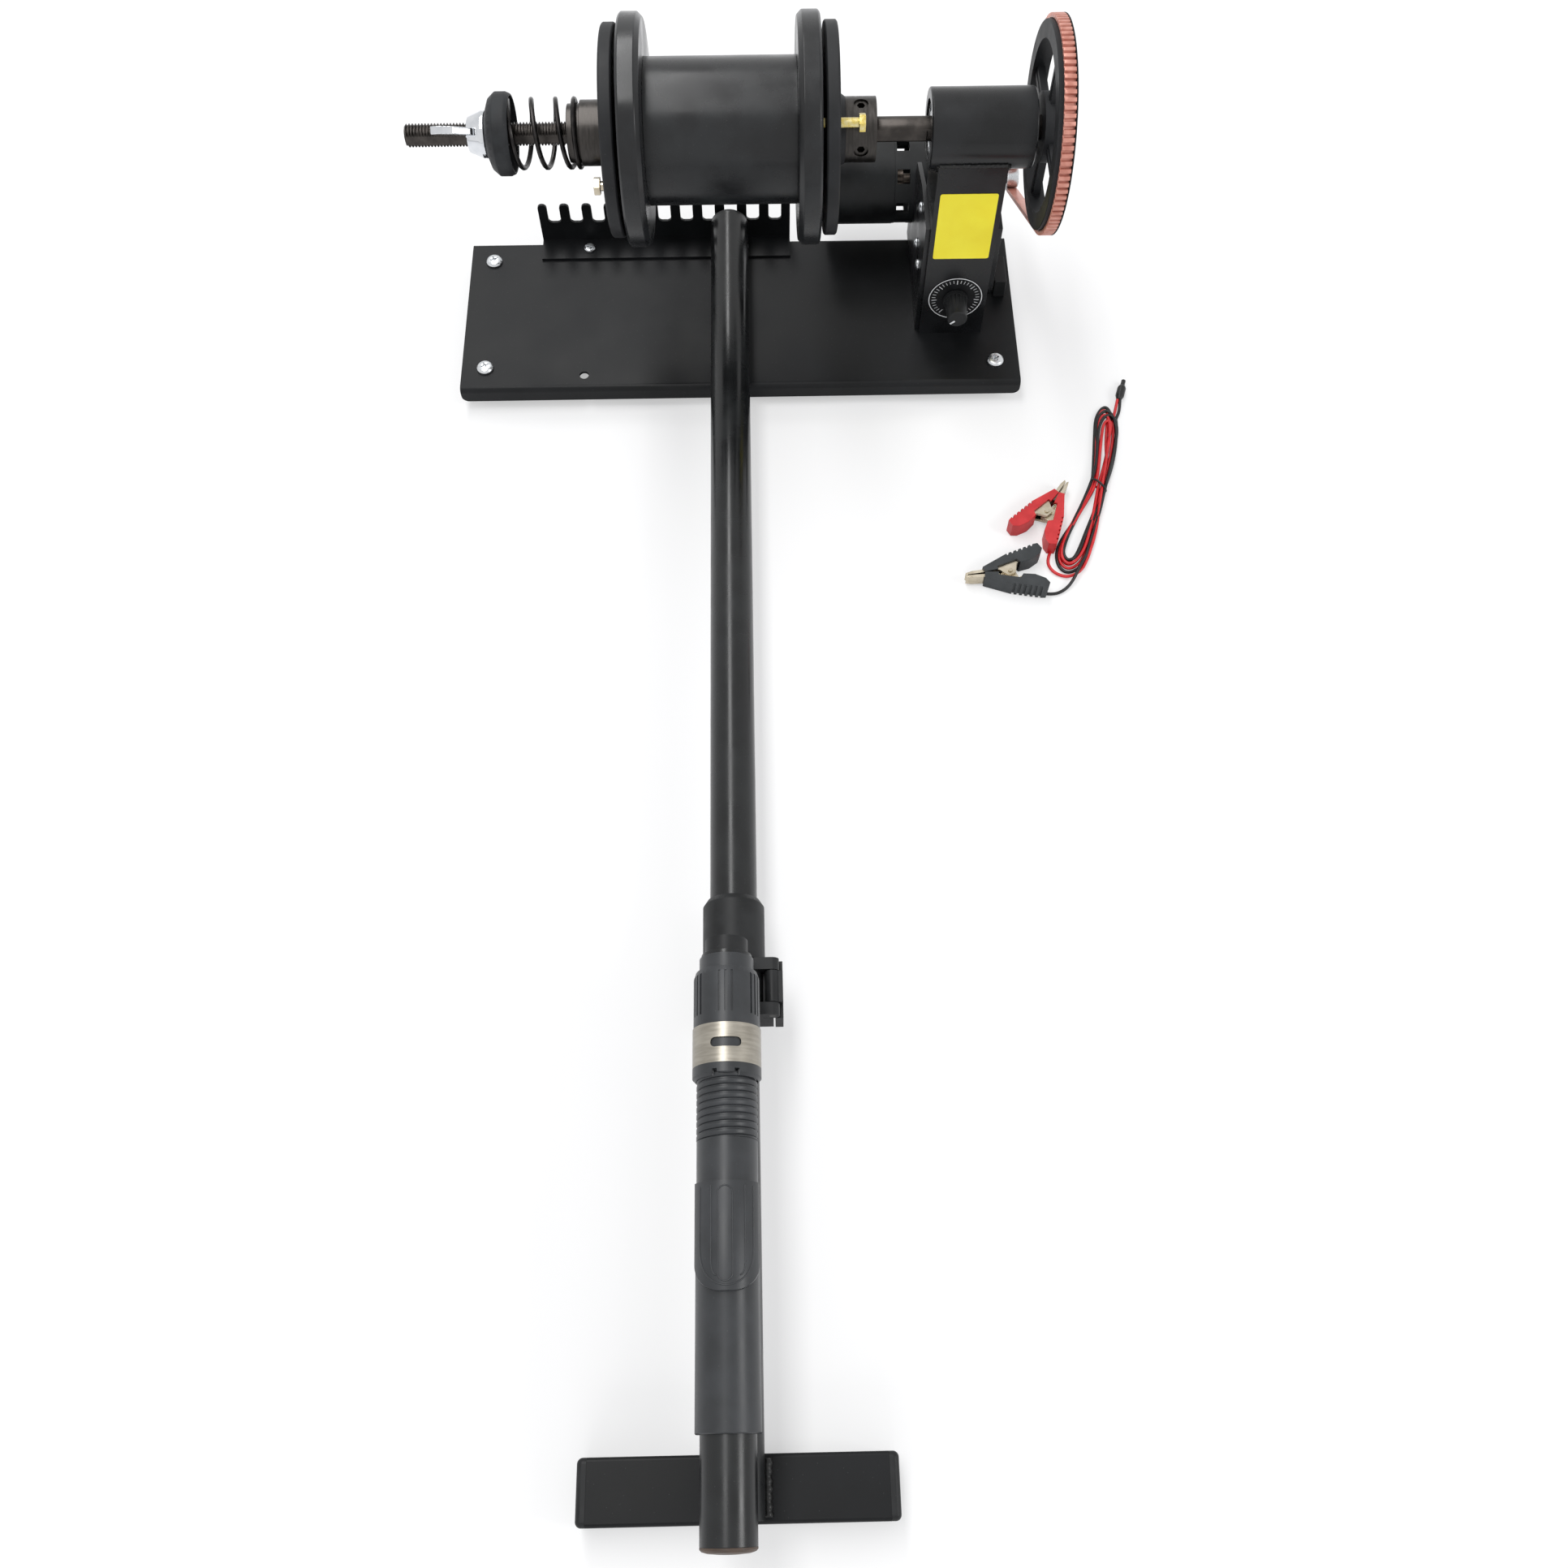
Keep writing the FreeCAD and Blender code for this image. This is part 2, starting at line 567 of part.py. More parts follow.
def make_foot_bar():
    def section(inset):
        side = size.barDepth / 2 - inset
        return rectangle(-side, inset, side, size.barHeight - inset)

    bar = padded("foot_bar", "YZ_Plane", [section(0), section(size.barWall)],
                 size.barLength, symmetric=True)
    half = float(size.barDepth) / 2
    round_edges(bar, size.barRound, lambda e: runs_along(e, "x") and near(abs(ends(e)[0].y), half))
    part(place(bar, size.armX, size.barY, 0), "foot_bar")

    head = padded("bar_cap", "YZ_Plane", [section(0)], size.barCap)
    round_edges(head, size.barRound * 1.5,
                lambda e: runs_along(e, "x") or near(ends(e)[0].x, ends(e)[1].x) and near(
                    ends(e)[0].x, size.barCap))
    plug = padded("bar_plug", "YZ_Plane", [section(size.barWall + size.threadGap)], size.barCap * 2)
    plug.setExpression("Placement.Base.x", formula(-size.barCap * 2))
    cap = fused([head, plug])
    reach = size.barLength / 2
    caps = [copy_of(cap, size.armX + reach, size.barY, 0),
            copy_of(cap, size.armX - reach, size.barY, 0, Rotation(Vector(0, 0, 1), 180))]
    part(group(caps), "foot_bar_caps")


def make_seat_pipe():
    inner = size.pipeRadius - size.pipeWall
    pipe = tube("seat_tube", "Y", inner, size.pipeRadius, size.seatFront - size.seatRear)
    part(place(pipe, seatX, size.seatRear, seatZ), "seat_tube")
    plug = domed_cap("seat_plug", inner, size.pipeRadius, size.capPlug, size.plugDome)
    place(plug, seatX, size.seatRear, seatZ, Rotation(Vector(0, 0, 1), 180))
    part(plug, "seat_end_plug")


# ---------------------------------------------------------------- reel seat
def make_reel_seat():
    bore = size.pipeRadius + size.threadGap
    start = size.seatBodyRear
    body = turned("seat_sleeve", "Y", [
        (0, bore), (0, size.gripRadius - size.edgeBreak), (size.edgeBreak, size.gripRadius),
        (hoodRear + size.hoodLength / 2 - start, size.gripRadius),
        (hoodRear + size.hoodLength / 2 - start, size.plainRadius),
        (threadRear - start, size.plainRadius), (threadRear - start, size.threadRadius),
        (threadFront - start, size.threadRadius), (threadFront - start, size.neckRadius),
        (threadFront + size.neckLength - start, size.neckRadius),
        (threadFront + size.neckLength - start, bore)])
    place(body, seatX, start, seatZ)

    # fixed hood: a raised pad with a rounded rear end and a shallow pocket in its front face
    crown = place(rod("Y", size.hoodRadius, size.hoodLength), seatX, hoodRear, seatZ + size.hoodLift)
    half = size.hoodRadius - size.hoodLift / 2
    plan = padded("hood_plan", "XY_Plane", [rectangle(-half, 0, half, size.hoodLength)],
                  size.hoodRadius + size.hoodLift)
    round_edges(plan, size.hoodCorner, lambda e: runs_along(e, "z") and near(ends(e)[0].y, 0))
    place(plan, seatX, hoodRear, seatZ + size.hoodLift)
    hood = common([crown, plan])
    inside = place(rod("Y", size.pipeRadius + size.hoodRoot, size.hoodLength * 2), seatX,
                   hoodRear - size.hoodLength / 2, seatZ)
    foot_pocket = place(box(size.pocketWidth, size.pocketDepth, size.pocketHeight), seatX,
                        hoodFront - size.pocketDepth / 2, seatZ + size.plainRadius)
    part(fused([body, cut(hood, [inside, foot_pocket])]), "reel_seat_body")

    # sliding hood: a short sleeve with a flared black rim, and a metal ring over it
    slide_bore = size.threadRadius + size.slideGap
    sleeve_radius = size.ringRadius - size.ringWall
    rear = ringRear - size.slideLength
    slide = turned("slide_sleeve", "Y", [
        (0, slide_bore), (0, size.ringRadius - size.slideChamfer), (size.slideChamfer, size.ringRadius),
        (size.slideLength, size.ringRadius), (size.slideLength, sleeve_radius),
        (size.slideLength + size.ringLength, sleeve_radius),
        (size.slideLength + size.ringLength, slide_bore)])
    place(slide, seatX, rear, seatZ)
    notch = place(box(size.pocketWidth, size.slideLength, size.pocketHeight), seatX,
                  rear, seatZ + slide_bore - size.pocketHeight / 2)
    part(cut(slide, [notch]), "sliding_hood")

    ring = tube("ring_band", "Y", sleeve_radius + size.threadGap, size.ringRadius, size.ringLength)
    place(ring, seatX, ringRear, seatZ)
    window = padded("ring_window", "XY_Plane",
                    [rectangle(-size.windowLength / 2, -size.windowWidth / 2,
                               size.windowLength / 2, size.windowWidth / 2)], size.ringRadius)
    round_edges(window, size.windowWidth * 0.45, lambda e: runs_along(e, "z"))
    place(window, seatX, ringRear + size.ringLength / 2, seatZ)
    part(cut(ring, [window]), "hood_ring")

    # lock nut with groups of three grooves
    nut = turned("nut_sleeve", "Y", [
        (0, slide_bore), (0, size.nutRadius), (size.nutLength - size.nutNose, size.nutRadius),
        (size.nutLength, size.nutRadius - size.nutChamfer), (size.nutLength, slide_bore)])
    place(nut, seatX, nutRear, seatZ)
    grooves = []
    for cluster in range(int(float(size.nutGroups))):
        for step in (-1, 0, 1):
            angle = 360 * cluster / float(size.nutGroups) + step * float(size.nutGrooveStep)
            groove = box(size.nutGrooveWidth, size.nutGrooveLength, size.nutGroove * 4)
            turn = Rotation(Vector(0, 1, 0), angle)
            lift = float(size.nutRadius - size.nutGroove)
            offset = turn.multVec(Vector(0, 0, lift))
            grooves.append(place(groove, seatX + offset.x, nutRear + size.nutLength * 0.55,
                                 seatZ + offset.z, turn))
    part(cut(nut, grooves), "lock_nut")


# ---------------------------------------------------------------- clamp on the arm
def make_clamp():
    bore = size.pipeRadius + size.threadGap
    collar = turned("collar_ring", "Y", [
        (0, bore), (0, size.collarRadius), (size.collarLength - size.collarChamfer, size.collarRadius),
        (size.collarLength, size.pipeRadius + size.collarLip), (size.collarLength, bore)])
    place(collar, size.armX, collarRear, armZ)
    band = place(tube("clamp_band", "Y", bore, size.bandRadius, size.bandLength),
                 size.armX, bandRear, armZ)
    # riser that carries the front end of the reel-seat pipe
    riser_front = size.seatFront + size.riserThick + size.edgeBreak
    riser = place(box(size.riserWidth, size.riserThick, size.seatRise + size.riserTop),
                  seatX, riser_front - size.riserThick / 2, armZ)
    spigot_radius = size.pipeRadius - size.pipeWall - size.threadGap
    spigot = place(rod("Y", spigot_radius, size.spigotLength), seatX,
                   riser_front - size.spigotLength, seatZ)
    bed = place(rod("Y", bore, size.collarLength * 2), size.armX, riser_front - size.collarLength, armZ)
    pin_x = size.armX + size.leverPinX
    pin_z = armZ + size.leverPinZ
    lugs = []
    for y in (bandRear, bandRear + size.bandLength - size.lugLength):
        knuckle = place(rod("Y", size.leverBarrel, size.lugLength), pin_x, y, pin_z)
        arm = place(box(size.leverPinX - size.bandRadius * 0.6, size.lugLength, size.leverBarrel * 2),
                    pin_x - (size.leverPinX - size.bandRadius * 0.6) / 2, y + size.lugLength / 2,
                    pin_z - size.leverBarrel)
        lugs += [knuckle, arm]
    # web under the lever, between the band and the lever's plate
    web_top = size.leverPinZ - size.leverBarrel - size.leverGap
    web = place(box(size.webReach, size.bandLength, web_top + size.webDrop),
                size.armX + size.webReach / 2, bandRear + size.bandLength / 2, armZ - size.webDrop)
    web = cut(web, [place(rod("Y", bore, size.bandLength * 2), size.armX,
                          bandRear - size.bandLength / 2, armZ)])
    pin_hole = place(rod("Y", size.leverPinRadius + size.threadGap, size.bandLength * 2), pin_x,
                     bandRear - size.bandLength / 2, pin_z)
    solid = fused([collar, band, riser, spigot, web] + lugs)
    part(cut(solid, [bed, pin_hole]), "seat_clamp")

    # lever: a barrel between the lugs and a plate that hangs beside the arm
    gap = size.leverGap
    barrel_length = size.bandLength - 2 * size.lugLength - 2 * gap
    barrel = place(rod("Y", size.leverBarrel, barrel_length), pin_x,
                   bandRear + size.lugLength + gap, pin_z)
    plate_x = pin_x + size.leverBarrel - size.leverPlate / 2 + size.leverReach
    upper = place(box(size.leverPlate, barrel_length, size.leverDrop), plate_x,
                  bandRear + size.bandLength / 2, pin_z - size.leverDrop + size.leverBarrel / 2)
    bridge = place(box(size.leverBarrel + size.leverReach, barrel_length, size.leverBarrel),
                   pin_x + (size.leverBarrel + size.leverReach) / 2, bandRear + size.bandLength / 2,
                   pin_z - size.leverBarrel / 2)
    lower = place(box(size.leverPlate, size.bandLength, size.leverDrop - size.leverBarrel * 1.5),
                  plate_x, bandRear + size.bandLength / 2, pin_z - size.leverDrop + size.leverBarrel / 2)
    eye = place(rod("Y", size.leverPinRadius + size.threadGap, size.bandLength), pin_x, bandRear, pin_z)
    part(cut(fused([barrel, upper, bridge, lower]), [eye]), "clamp_lever")

    pin = rod("Y", size.leverPinRadius, size.bandLength)
    part(place(pin, pin_x, bandRear, pin_z), "clamp_lever_pin")


# ---------------------------------------------------------------- post and bearing housing
def make_post():
    width = size.postWidth
    wall = size.postWall
    height = postTop - size.plateTop
    outer = place(box(width, width, height), postX, size.postY, size.plateTop)
    inner = place(box(width - 2 * wall, width - 2 * wall, height), postX, size.postY,
                  size.plateTop + size.postFloor)
    mouth = place(rod("X", size.housingRadius + size.threadGap, width * 2), postX - width,
                  size.axisY, size.axisZ)
    drills = [place(rod("Z", size.boltRadius + size.threadGap, size.postFloor * 3), x, y,
                    size.plateTop - size.postFloor) for x, y in bolt_places()[2:]]
    bush = place(rod("Y", size.bushRadius + size.threadGap, wall * 3), knobX, postFace - wall,
                 size.knobZ)
    tap = size.cheekScrewRadius + size.threadGap
    taps = [place(rod("X", tap, width * 1.2), postX - width * 0.6, y, z) for y, z in cheek_screw_places()]
    part(cut(outer, [inner, mouth, bush] + drills + taps), "post")

    seat = size.raceWidth + size.shoulderStep
    core = size.raceRadius - size.shoulderStep
    bore = size.raceRadius + size.threadGap
    length = size.housingLength
    edge = size.housingBreak
    housing = turned("bearing_housing", "X", [
        (0, bore), (0, size.housingRadius - edge), (edge, size.housingRadius),
        (length - edge, size.housingRadius), (length, size.housingRadius - edge), (length, bore),
        (length - seat, bore), (length - seat, core), (seat, core), (seat, bore)])
    part(place(housing, housingLeft, size.axisY, size.axisZ), "bearing_housing")


def make_bearings():
    width = size.raceWidth
    pitch = (size.raceRadius + size.journalRadius) / 2
    track = size.ballRadius + size.ballGap
    outer = turned("outer_race", "X", [
        (0, size.raceRadius), (0, size.raceRadius - size.raceWall),
        (width / 2 - size.ballRadius, size.raceRadius - size.raceWall),
        (width / 2 - size.ballRadius, pitch + track), (width / 2 + size.ballRadius, pitch + track),
        (width / 2 + size.ballRadius, size.raceRadius - size.raceWall),
        (width, size.raceRadius - size.raceWall), (width, size.raceRadius)])
    bore = size.journalRadius + size.pressGap
    crest = size.journalRadius + size.raceWall
    inner = turned("inner_race", "X", [
        (0, bore), (0, crest), (width / 2 - size.ballRadius, crest),
        (width / 2 - size.ballRadius, pitch - track),
        (width / 2 + size.ballRadius, pitch - track),
        (width / 2 + size.ballRadius, crest), (width, crest), (width, bore)])
    ball = doc.addObject("Part::Sphere", "ball")
    bind(ball, Radius=size.ballRadius)
    outers, inners, balls = [], [], []
    for left in (housingLeft + size.shoulderStep, housingRight - size.shoulderStep - width):
        outers.append(copy_of(outer, left, size.axisY, size.axisZ))
        inners.append(copy_of(inner, left, size.axisY, size.axisZ))
        for i in range(int(float(size.ballCount))):
            y, z = ring_place(pitch, 360 * i / float(size.ballCount))
            balls.append(copy_of(ball, left + width / 2, y, z))
    part(group(outers), "bearing_outer_races")
    part(group(inners), "bearing_inner_races")
    part(group(balls), "bearing_balls")


# ---------------------------------------------------------------- spindle and what turns with it
def make_spindle():
    shoulder = collarRightStart + size.collarLongLength - size.rodTip
    journal_end = wheelRight - size.hubRecess - size.rodTip
    hole_end = journal_end - size.wheelScrewLength - size.wheelScrewRoom
    bolt = size.combScrewRadius + size.threadGap
    shaft = turned("spindle_rod", "X", [
        (0, 0), (0, size.rodRadius - size.rodChamfer), (size.rodChamfer, size.rodRadius),
        (shoulder, size.rodRadius),
        (shoulder, size.journalRadius), (journal_end, size.journalRadius),
        (journal_end, bolt), (hole_end, bolt), (hole_end, 0)])
    place(shaft, size.rodTip, size.axisY, size.axisZ)
    flat = place(box(shoulder * 2, size.rodFlat, size.rodRadius * 3), size.rodTip,
                 size.axisY - size.rodRadius + size.rodFlat / 2, size.axisZ - size.rodRadius * 1.5)
    part(cut(shaft, [flat]), "spindle_shaft")
    return journal_end


def drive_hole(x, angle, radius):
    y, z = ring_place(size.driveBoltPitch, angle)
    return place(rod("X", radius, size.discWidth * 4), x - size.discWidth * 2, y, z)


def make_discs():
    pad = size.padWidth
    width = size.discWidth
    radius = size.discRadius
    edge = size.discRound
    right = turned("disc_right", "X", [
        (0, boreRadius), (0, size.padRadius), (pad, size.padRadius), (pad, radius - edge),
        (pad + edge, radius), (pad + width - edge, radius),
        (pad + width, radius - edge), (pad + width, size.shoulderRadius),
        (pad + width + size.shoulderWidth, size.collarLongRadius),
        (pad + width + size.shoulderWidth, boreRadius)])
    place(right, spoolRight, size.axisY, size.axisZ)
    hole = drive_hole(spoolRight, size.driveBoltAngle, size.boltRadius + size.threadGap)
    part(cut(right, [hole]), "clamp_disc_right")

    left = turned("disc_left", "X", [
        (0, boreRadius), (0, radius - edge), (edge, radius),
        (width - edge, radius), (width, radius - edge), (width, size.padRadius),
        (width + pad, size.padRadius), (width + pad, boreRadius)])
    place(left, discLeftFace, size.axisY, size.axisZ)
    hole = drive_hole(spoolLeft, size.driveBoltLeftAngle, size.boltRadius + size.threadGap)
    part(cut(left, [hole]), "clamp_disc_left")

    # the right collar is held on the rod by four radial set screws, the left one slides
    radius = size.collarLongRadius
    sunk = radius - size.setScrewSink - size.setScrewLength
    ring = tube("collar_long", "X", boreRadius, radius, size.collarLongLength)
    place(ring, collarRightStart, size.axisY, size.axisZ)
    middle = collarRightStart + size.collarLongLength / 2
    taps, screws = [], []
    screw = cut(rod("Z", size.setScrewRadius, size.setScrewLength),
                [padded("socket", "XY_Plane", [hexagon(size.setScrewRadius)], size.setScrewLength)])
    screw.Tool.setExpression("Placement.Base.z", formula(size.setScrewLength / 2))
    for i in range(4):
        turn = Rotation(Vector(1, 0, 0), 90 * i)
        out = turn.multVec(Vector(0, 0, 1))
        tap = rod("Z", size.setScrewRadius + size.threadGap, radius * 1.2)
        taps.append(place(tap, middle, size.axisY, size.axisZ, turn))
        screws.append(copy_of(screw, middle, size.axisY + out.y * sunk, size.axisZ + out.z * sunk, turn))
    part(cut(ring, taps), "collar_right")

    step = size.stepLength
    stepped = turned("collar_short", "X", [
        (0, boreRadius), (0, size.stepRadius), (step, size.stepRadius), (step, radius),
        (step + size.leftCollarLength, radius), (step + size.leftCollarLength, boreRadius)])
    part(place(stepped, stepStart, size.axisY, size.axisZ), "collar_left")
    return screws


def make_drive_bolts():
    """Screws whose tips enter a hole in the spool's flange, so that the spool is driven."""
    def bolt(name, length, toward, start, angle):
        y, z = ring_place(size.driveBoltPitch, angle)
        head = padded(name + "_head", "YZ_Plane", [hexagon(size.boltHeadAcross, 30)], size.boltHeadHeight)
        shank = rod("X", size.boltRadius, length)
        if toward > 0:
            place(shank, start - length, y, z)
            place(head, start, y, z)
        else:
            place(shank, start, y, z)
            place(head, start - size.boltHeadHeight, y, z)
        return fused([shank, head])
    enter = size.driveBoltEnter
    through = size.padWidth + size.discWidth
    right = bolt("bolt_right", enter + through + size.driveBoltStand, 1,
                 discRightFace + size.driveBoltStand, size.driveBoltAngle)
    left = bolt("bolt_left", enter + through + size.driveBoltLeftStand, -1,
                discLeftFace - size.driveBoltLeftStand, size.driveBoltLeftAngle)
    part(right, "drive_bolt_right")
    part(left, "drive_bolt_left")


def make_spool():
    rim = size.rimWidth
    chamfer = size.rimChamfer
    radius = size.spoolRadius
    flange = turned("spool_flange", "X", [
        (0, boreRadius + size.holeGap), (0, radius - size.rimEdge), (size.rimEdge, radius),
        (rim - chamfer, radius),
        (rim, radius - chamfer), (rim, size.barrelRadius), (rim - chamfer, size.barrelRadius - 1),
        (rim - chamfer, boreRadius + size.holeGap)])
    left_flange = copy_of(flange, spoolLeft, size.axisY, size.axisZ)
    right_flange = copy_of(flange, spoolRight, size.axisY, size.axisZ, Rotation(Vector(0, 0, 1), 180))
    clearance = size.boltRadius + size.holeGap
    drilled = [cut(left_flange, [drive_hole(spoolLeft, size.driveBoltLeftAngle, clearance)]),
               cut(right_flange, [drive_hole(spoolRight, size.driveBoltAngle, clearance)])]
    part(group(drilled), "spool_flanges")
    barrel = tube("spool_barrel", "X", size.barrelRadius - size.barrelWall, size.barrelRadius,
                  size.spoolWidth - 2 * rim)
    part(place(barrel, spoolLeft + rim, size.axisY, size.axisZ), "spool_barrel")


def make_spring_and_cup():
    # the cup is hollow towards the spool and its floor carries the spring
    floor = size.cupFloor
    radius = size.cupRadius
    width = size.cupWidth
    cup = turned("spring_cup", "X", [
        (0, boreRadius + size.holeGap), (0, radius * 0.55), (width * 0.18, radius * 0.86),
        (width * 0.42, radius), (width * 0.82, radius), (width, radius - size.cupWall * 0.5),
        (width, radius - size.cupWall), (floor, radius - size.cupWall),
        (floor, boreRadius + size.holeGap)])
    part(place(cup, size.cupLeft, size.axisY, size.axisZ), "spring_cup")

    # an open-ended coil between the cup's floor and the stepped collar's shoulder
    wire = size.springWire
    first = size.cupLeft + floor + wire
    last = discLeftFace - size.leftCollarLength - wire
    coil = doc.addObject("Part::Helix", "spring_path")
    bind(coil, Pitch=size.springPitch, Height=last - first, Radius=springRadius)
    section = doc.addObject("Part::Circle", "spring_section")
    bind(section, Radius=wire)
    section.Placement = Placement(Vector(), Rotation(Vector(1, 0, 0), 90))
    section.setExpression("Placement.Base.x", formula(springRadius))
    spring = doc.addObject("Part::Sweep", "spring_turns")
    spring.Sections = [section]
    spring.Spine = (coil, ["Edge1"])
    spring.Solid = True
    spring.Frenet = True
    part(place(spring, first, size.axisY, size.axisZ, Rotation(Vector(0, 1, 0), 90)), "spring")


def make_wing_nut():
    hub = size.wingHubLength
    bore = size.rodRadius + size.nutGap
    nut = turned("wing_hub", "X", [
        (0, bore), (0, size.wingHubRadius), (-hub * 0.25, size.wingHubRadius),
        (-hub, size.wingNeckRadius), (-hub, bore)])
    place(nut, size.cupLeft, size.axisY, size.axisZ)
    wings = []
    for side in (0, 180):
        wing = padded("wing", "XZ_Plane", [[
            (-hub * 0.2, size.rodRadius + 1), (-hub, size.rodRadius + 1),
            (-hub * 1.9, size.wingReach * 0.55), (-hub * 2.7, size.wingReach * 0.62),
            (-hub * 2.7, size.wingReach * 0.92), (-hub * 2.3, size.wingReach),
            (-hub * 1.5, size.wingReach * 0.92), (-hub * 0.6, size.wingReach * 0.62)]],
            size.wingThick, symmetric=True)
        turn = Rotation(Vector(1, 0, 0), 90 - float(size.wingAngle) + side)
        wings.append(place(wing, size.cupLeft, size.axisY, size.axisZ, turn))
    part(fused([nut] + wings), "wing_nut")


# ---------------------------------------------------------------- drive wheel, belt and motor
def make_wheel(journal_end):
    width = size.wheelWidth
    rim = turned("wheel_rim", "X", [
        (0, size.rimInner), (0, size.rimOuter - size.edgeBreak), (size.edgeBreak, size.rimOuter),
        (width - size.wheelLip, size.rimOuter),
        (width - size.wheelLip, size.rimOuter + size.beltThick + size.beltGap),
        (width, size.rimOuter + size.beltThick + size.beltGap), (width, size.rimInner)])
    bore = size.journalRadius + size.threadGap
    hub_end = journal_end + size.rodTip - wheelLeft
    hub = turned("wheel_hub", "X", [
        (0, bore), (0, size.hubRadius), (hub_end, size.hubRadius), (hub_end, bore)])
    pieces = [rim, hub]
    for i in range(4):
        turn = Rotation(Vector(1, 0, 0), 90 * i)
        start = size.hubRadius - size.spokeLap
        length = size.rimInner + size.spokeLap - start
        spoke = box(size.spokeThick, size.spokeWidth, length)
        out = turn.multVec(Vector(0, 0, 1))
        place(spoke, wheelLeft + width / 2, size.axisY + out.y * start, size.axisZ + out.z * start, turn)
        rib = box(size.spokeThick + 2 * size.ribProud, size.spokeRib, length)
        place(rib, wheelLeft + width / 2, size.axisY + out.y * start, size.axisZ + out.z * start, turn)
        pieces += [spoke, rib]
    for piece in (rim, hub):
        place(piece, wheelLeft, size.axisY, size.axisZ)
    part(fused(pieces), "drive_wheel")

    # washer-headed screw in the shaft's end holds the wheel on its journal
    head_end = size.washerThick + size.wheelScrewHead
    screw = turned("wheel_screw", "X", [
        (-size.wheelScrewLength, 0), (-size.wheelScrewLength, size.combScrewRadius),
        (0, size.combScrewRadius), (0, size.journalRadius + size.washerExtra),
        (size.washerThick, size.journalRadius + size.washerExtra),
        (size.washerThick, size.combHeadRadius), (head_end, size.combHeadRadius), (head_end, 0)])
    return place(screw, journal_end + size.rodTip, size.axisY, size.axisZ)


def make_belt():
    """A band round the wheel and the motor pulley, teeth included in its thickness."""
    big = float(size.rimOuter + size.beltGap)
    small = float(size.pulleyRadius + size.beltGap)
    rise = float(size.motorZ - size.axisZ)
    back = float(size.motorY - size.axisY)
    distance = math.hypot(rise, back)
    lean = math.asin((big - small) / distance)
    heading = math.atan2(rise, back)

    def wire(extra):
        open_half = math.pi / 2 - lean
        arcs = []
        for radius, centre, start, stop in (
                (big + extra, (0.0, 0.0), heading + open_half, heading + 2 * math.pi - open_half),
                (small + extra, (back, rise), heading - open_half, heading + open_half)):
            middle = (start + stop) / 2
            corner = [Vector(0, centre[0] + radius * math.cos(a), centre[1] + radius * math.sin(a))
                      for a in (start, middle, stop)]
            arcs.append(corner)
        edges = [Part.Arc(*arcs[0]).toShape(), Part.LineSegment(arcs[0][2], arcs[1][0]).toShape(),
                 Part.Arc(*arcs[1]).toShape(), Part.LineSegment(arcs[1][2], arcs[0][0]).toShape()]
        return Part.Wire(edges)

    width = Vector(float(size.beltWidth), 0, 0)
    outer = Part.Face(wire(float(size.beltThick))).extrude(width)
    inner = Part.Face(wire(0.0)).extrude(width)
    belt = doc.addObject("Part::Feature", "drive_belt")
    belt.Shape = outer.cut(inner)
    part(place(belt, beltLeft, size.axisY, size.axisZ), "drive_belt")


def make_motor():
    radius = size.motorRadius
    wall = size.canWall
    shaft_bore = size.motorShaftRadius + size.threadGap
    can = turned("motor_can", "X", [
        (0, shaft_bore), (0, radius - wall), (wall, radius), (size.canLength, radius),
        (size.canLength, radius - wall), (wall * 2, radius - wall), (wall * 2, shaft_bore)])
    part(place(can, motorLeft, size.motorY, size.motorZ), "motor_can")

    # bell: a spigot inside the can, a ring of vent windows, then the gearbox case
    length = postSide - motorLeft - size.canLength
    spigot = size.bellSpigot
    outside = radius - size.bellStep
    inside = radius - wall - size.threadGap
    bell = turned("bell", "X", [
        (-spigot, inside - size.bellWall / 2), (-spigot, inside), (0, inside), (0, outside),
        (length, outside), (length, shaft_bore), (length - size.bellFace, shaft_bore),
        (length - size.bellFace, radius - size.bellWall), (0, radius - size.bellWall)])
    place(bell, motorLeft + size.canLength, size.motorY, size.motorZ)
    vents = []
    for i in range(int(float(size.ventCount))):
        angle = 360 * i / float(size.ventCount)
        turn = Rotation(Vector(1, 0, 0), angle)
        vent = box(size.ventLength, size.ventWidth, size.motorRadius)
        out = turn.multVec(Vector(0, 0, 1))
        start = radius - size.ventDepth * 2
        vents.append(place(vent, motorLeft + size.canLength + size.ventLength / 2 + size.ventInset,
                           size.motorY + out.y * start, size.motorZ + out.z * start, turn))
    part(cut(bell, vents), "motor_end_bell")

    core_start = wall * 2 + size.rotorSpace
    core_end = core_start + size.rotorLength
    commutator_end = core_end + size.commutatorLength
    shaft_end = wheelRight - size.housingBreak - motorLeft
    shaft = size.motorShaftRadius
    rotor = turned("motor_rotor", "X", [
        (size.edgeBreak, 0), (size.edgeBreak, shaft), (core_start, shaft),
        (core_start, size.rotorRadius), (core_end, size.rotorRadius), (core_end, size.commutatorRadius),
        (commutator_end, size.commutatorRadius), (commutator_end, shaft),
        (shaft_end, shaft), (shaft_end, 0)])
    part(place(rotor, motorLeft, size.motorY, size.motorZ), "motor_rotor")

    bore = shaft + size.pressGap
    flange = size.pulleyRadius + size.flangeRise
    pulley = turned("motor_pulley", "X", [
        (0, bore), (0, flange), (size.flangeThick, flange), (size.flangeThick, size.pulleyRadius),
        (size.pulleyLength, size.pulleyRadius), (size.pulleyLength, bore)])
    part(place(pulley, beltLeft - 2 * size.flangeThick, size.motorY, size.motorZ), "motor_pulley")


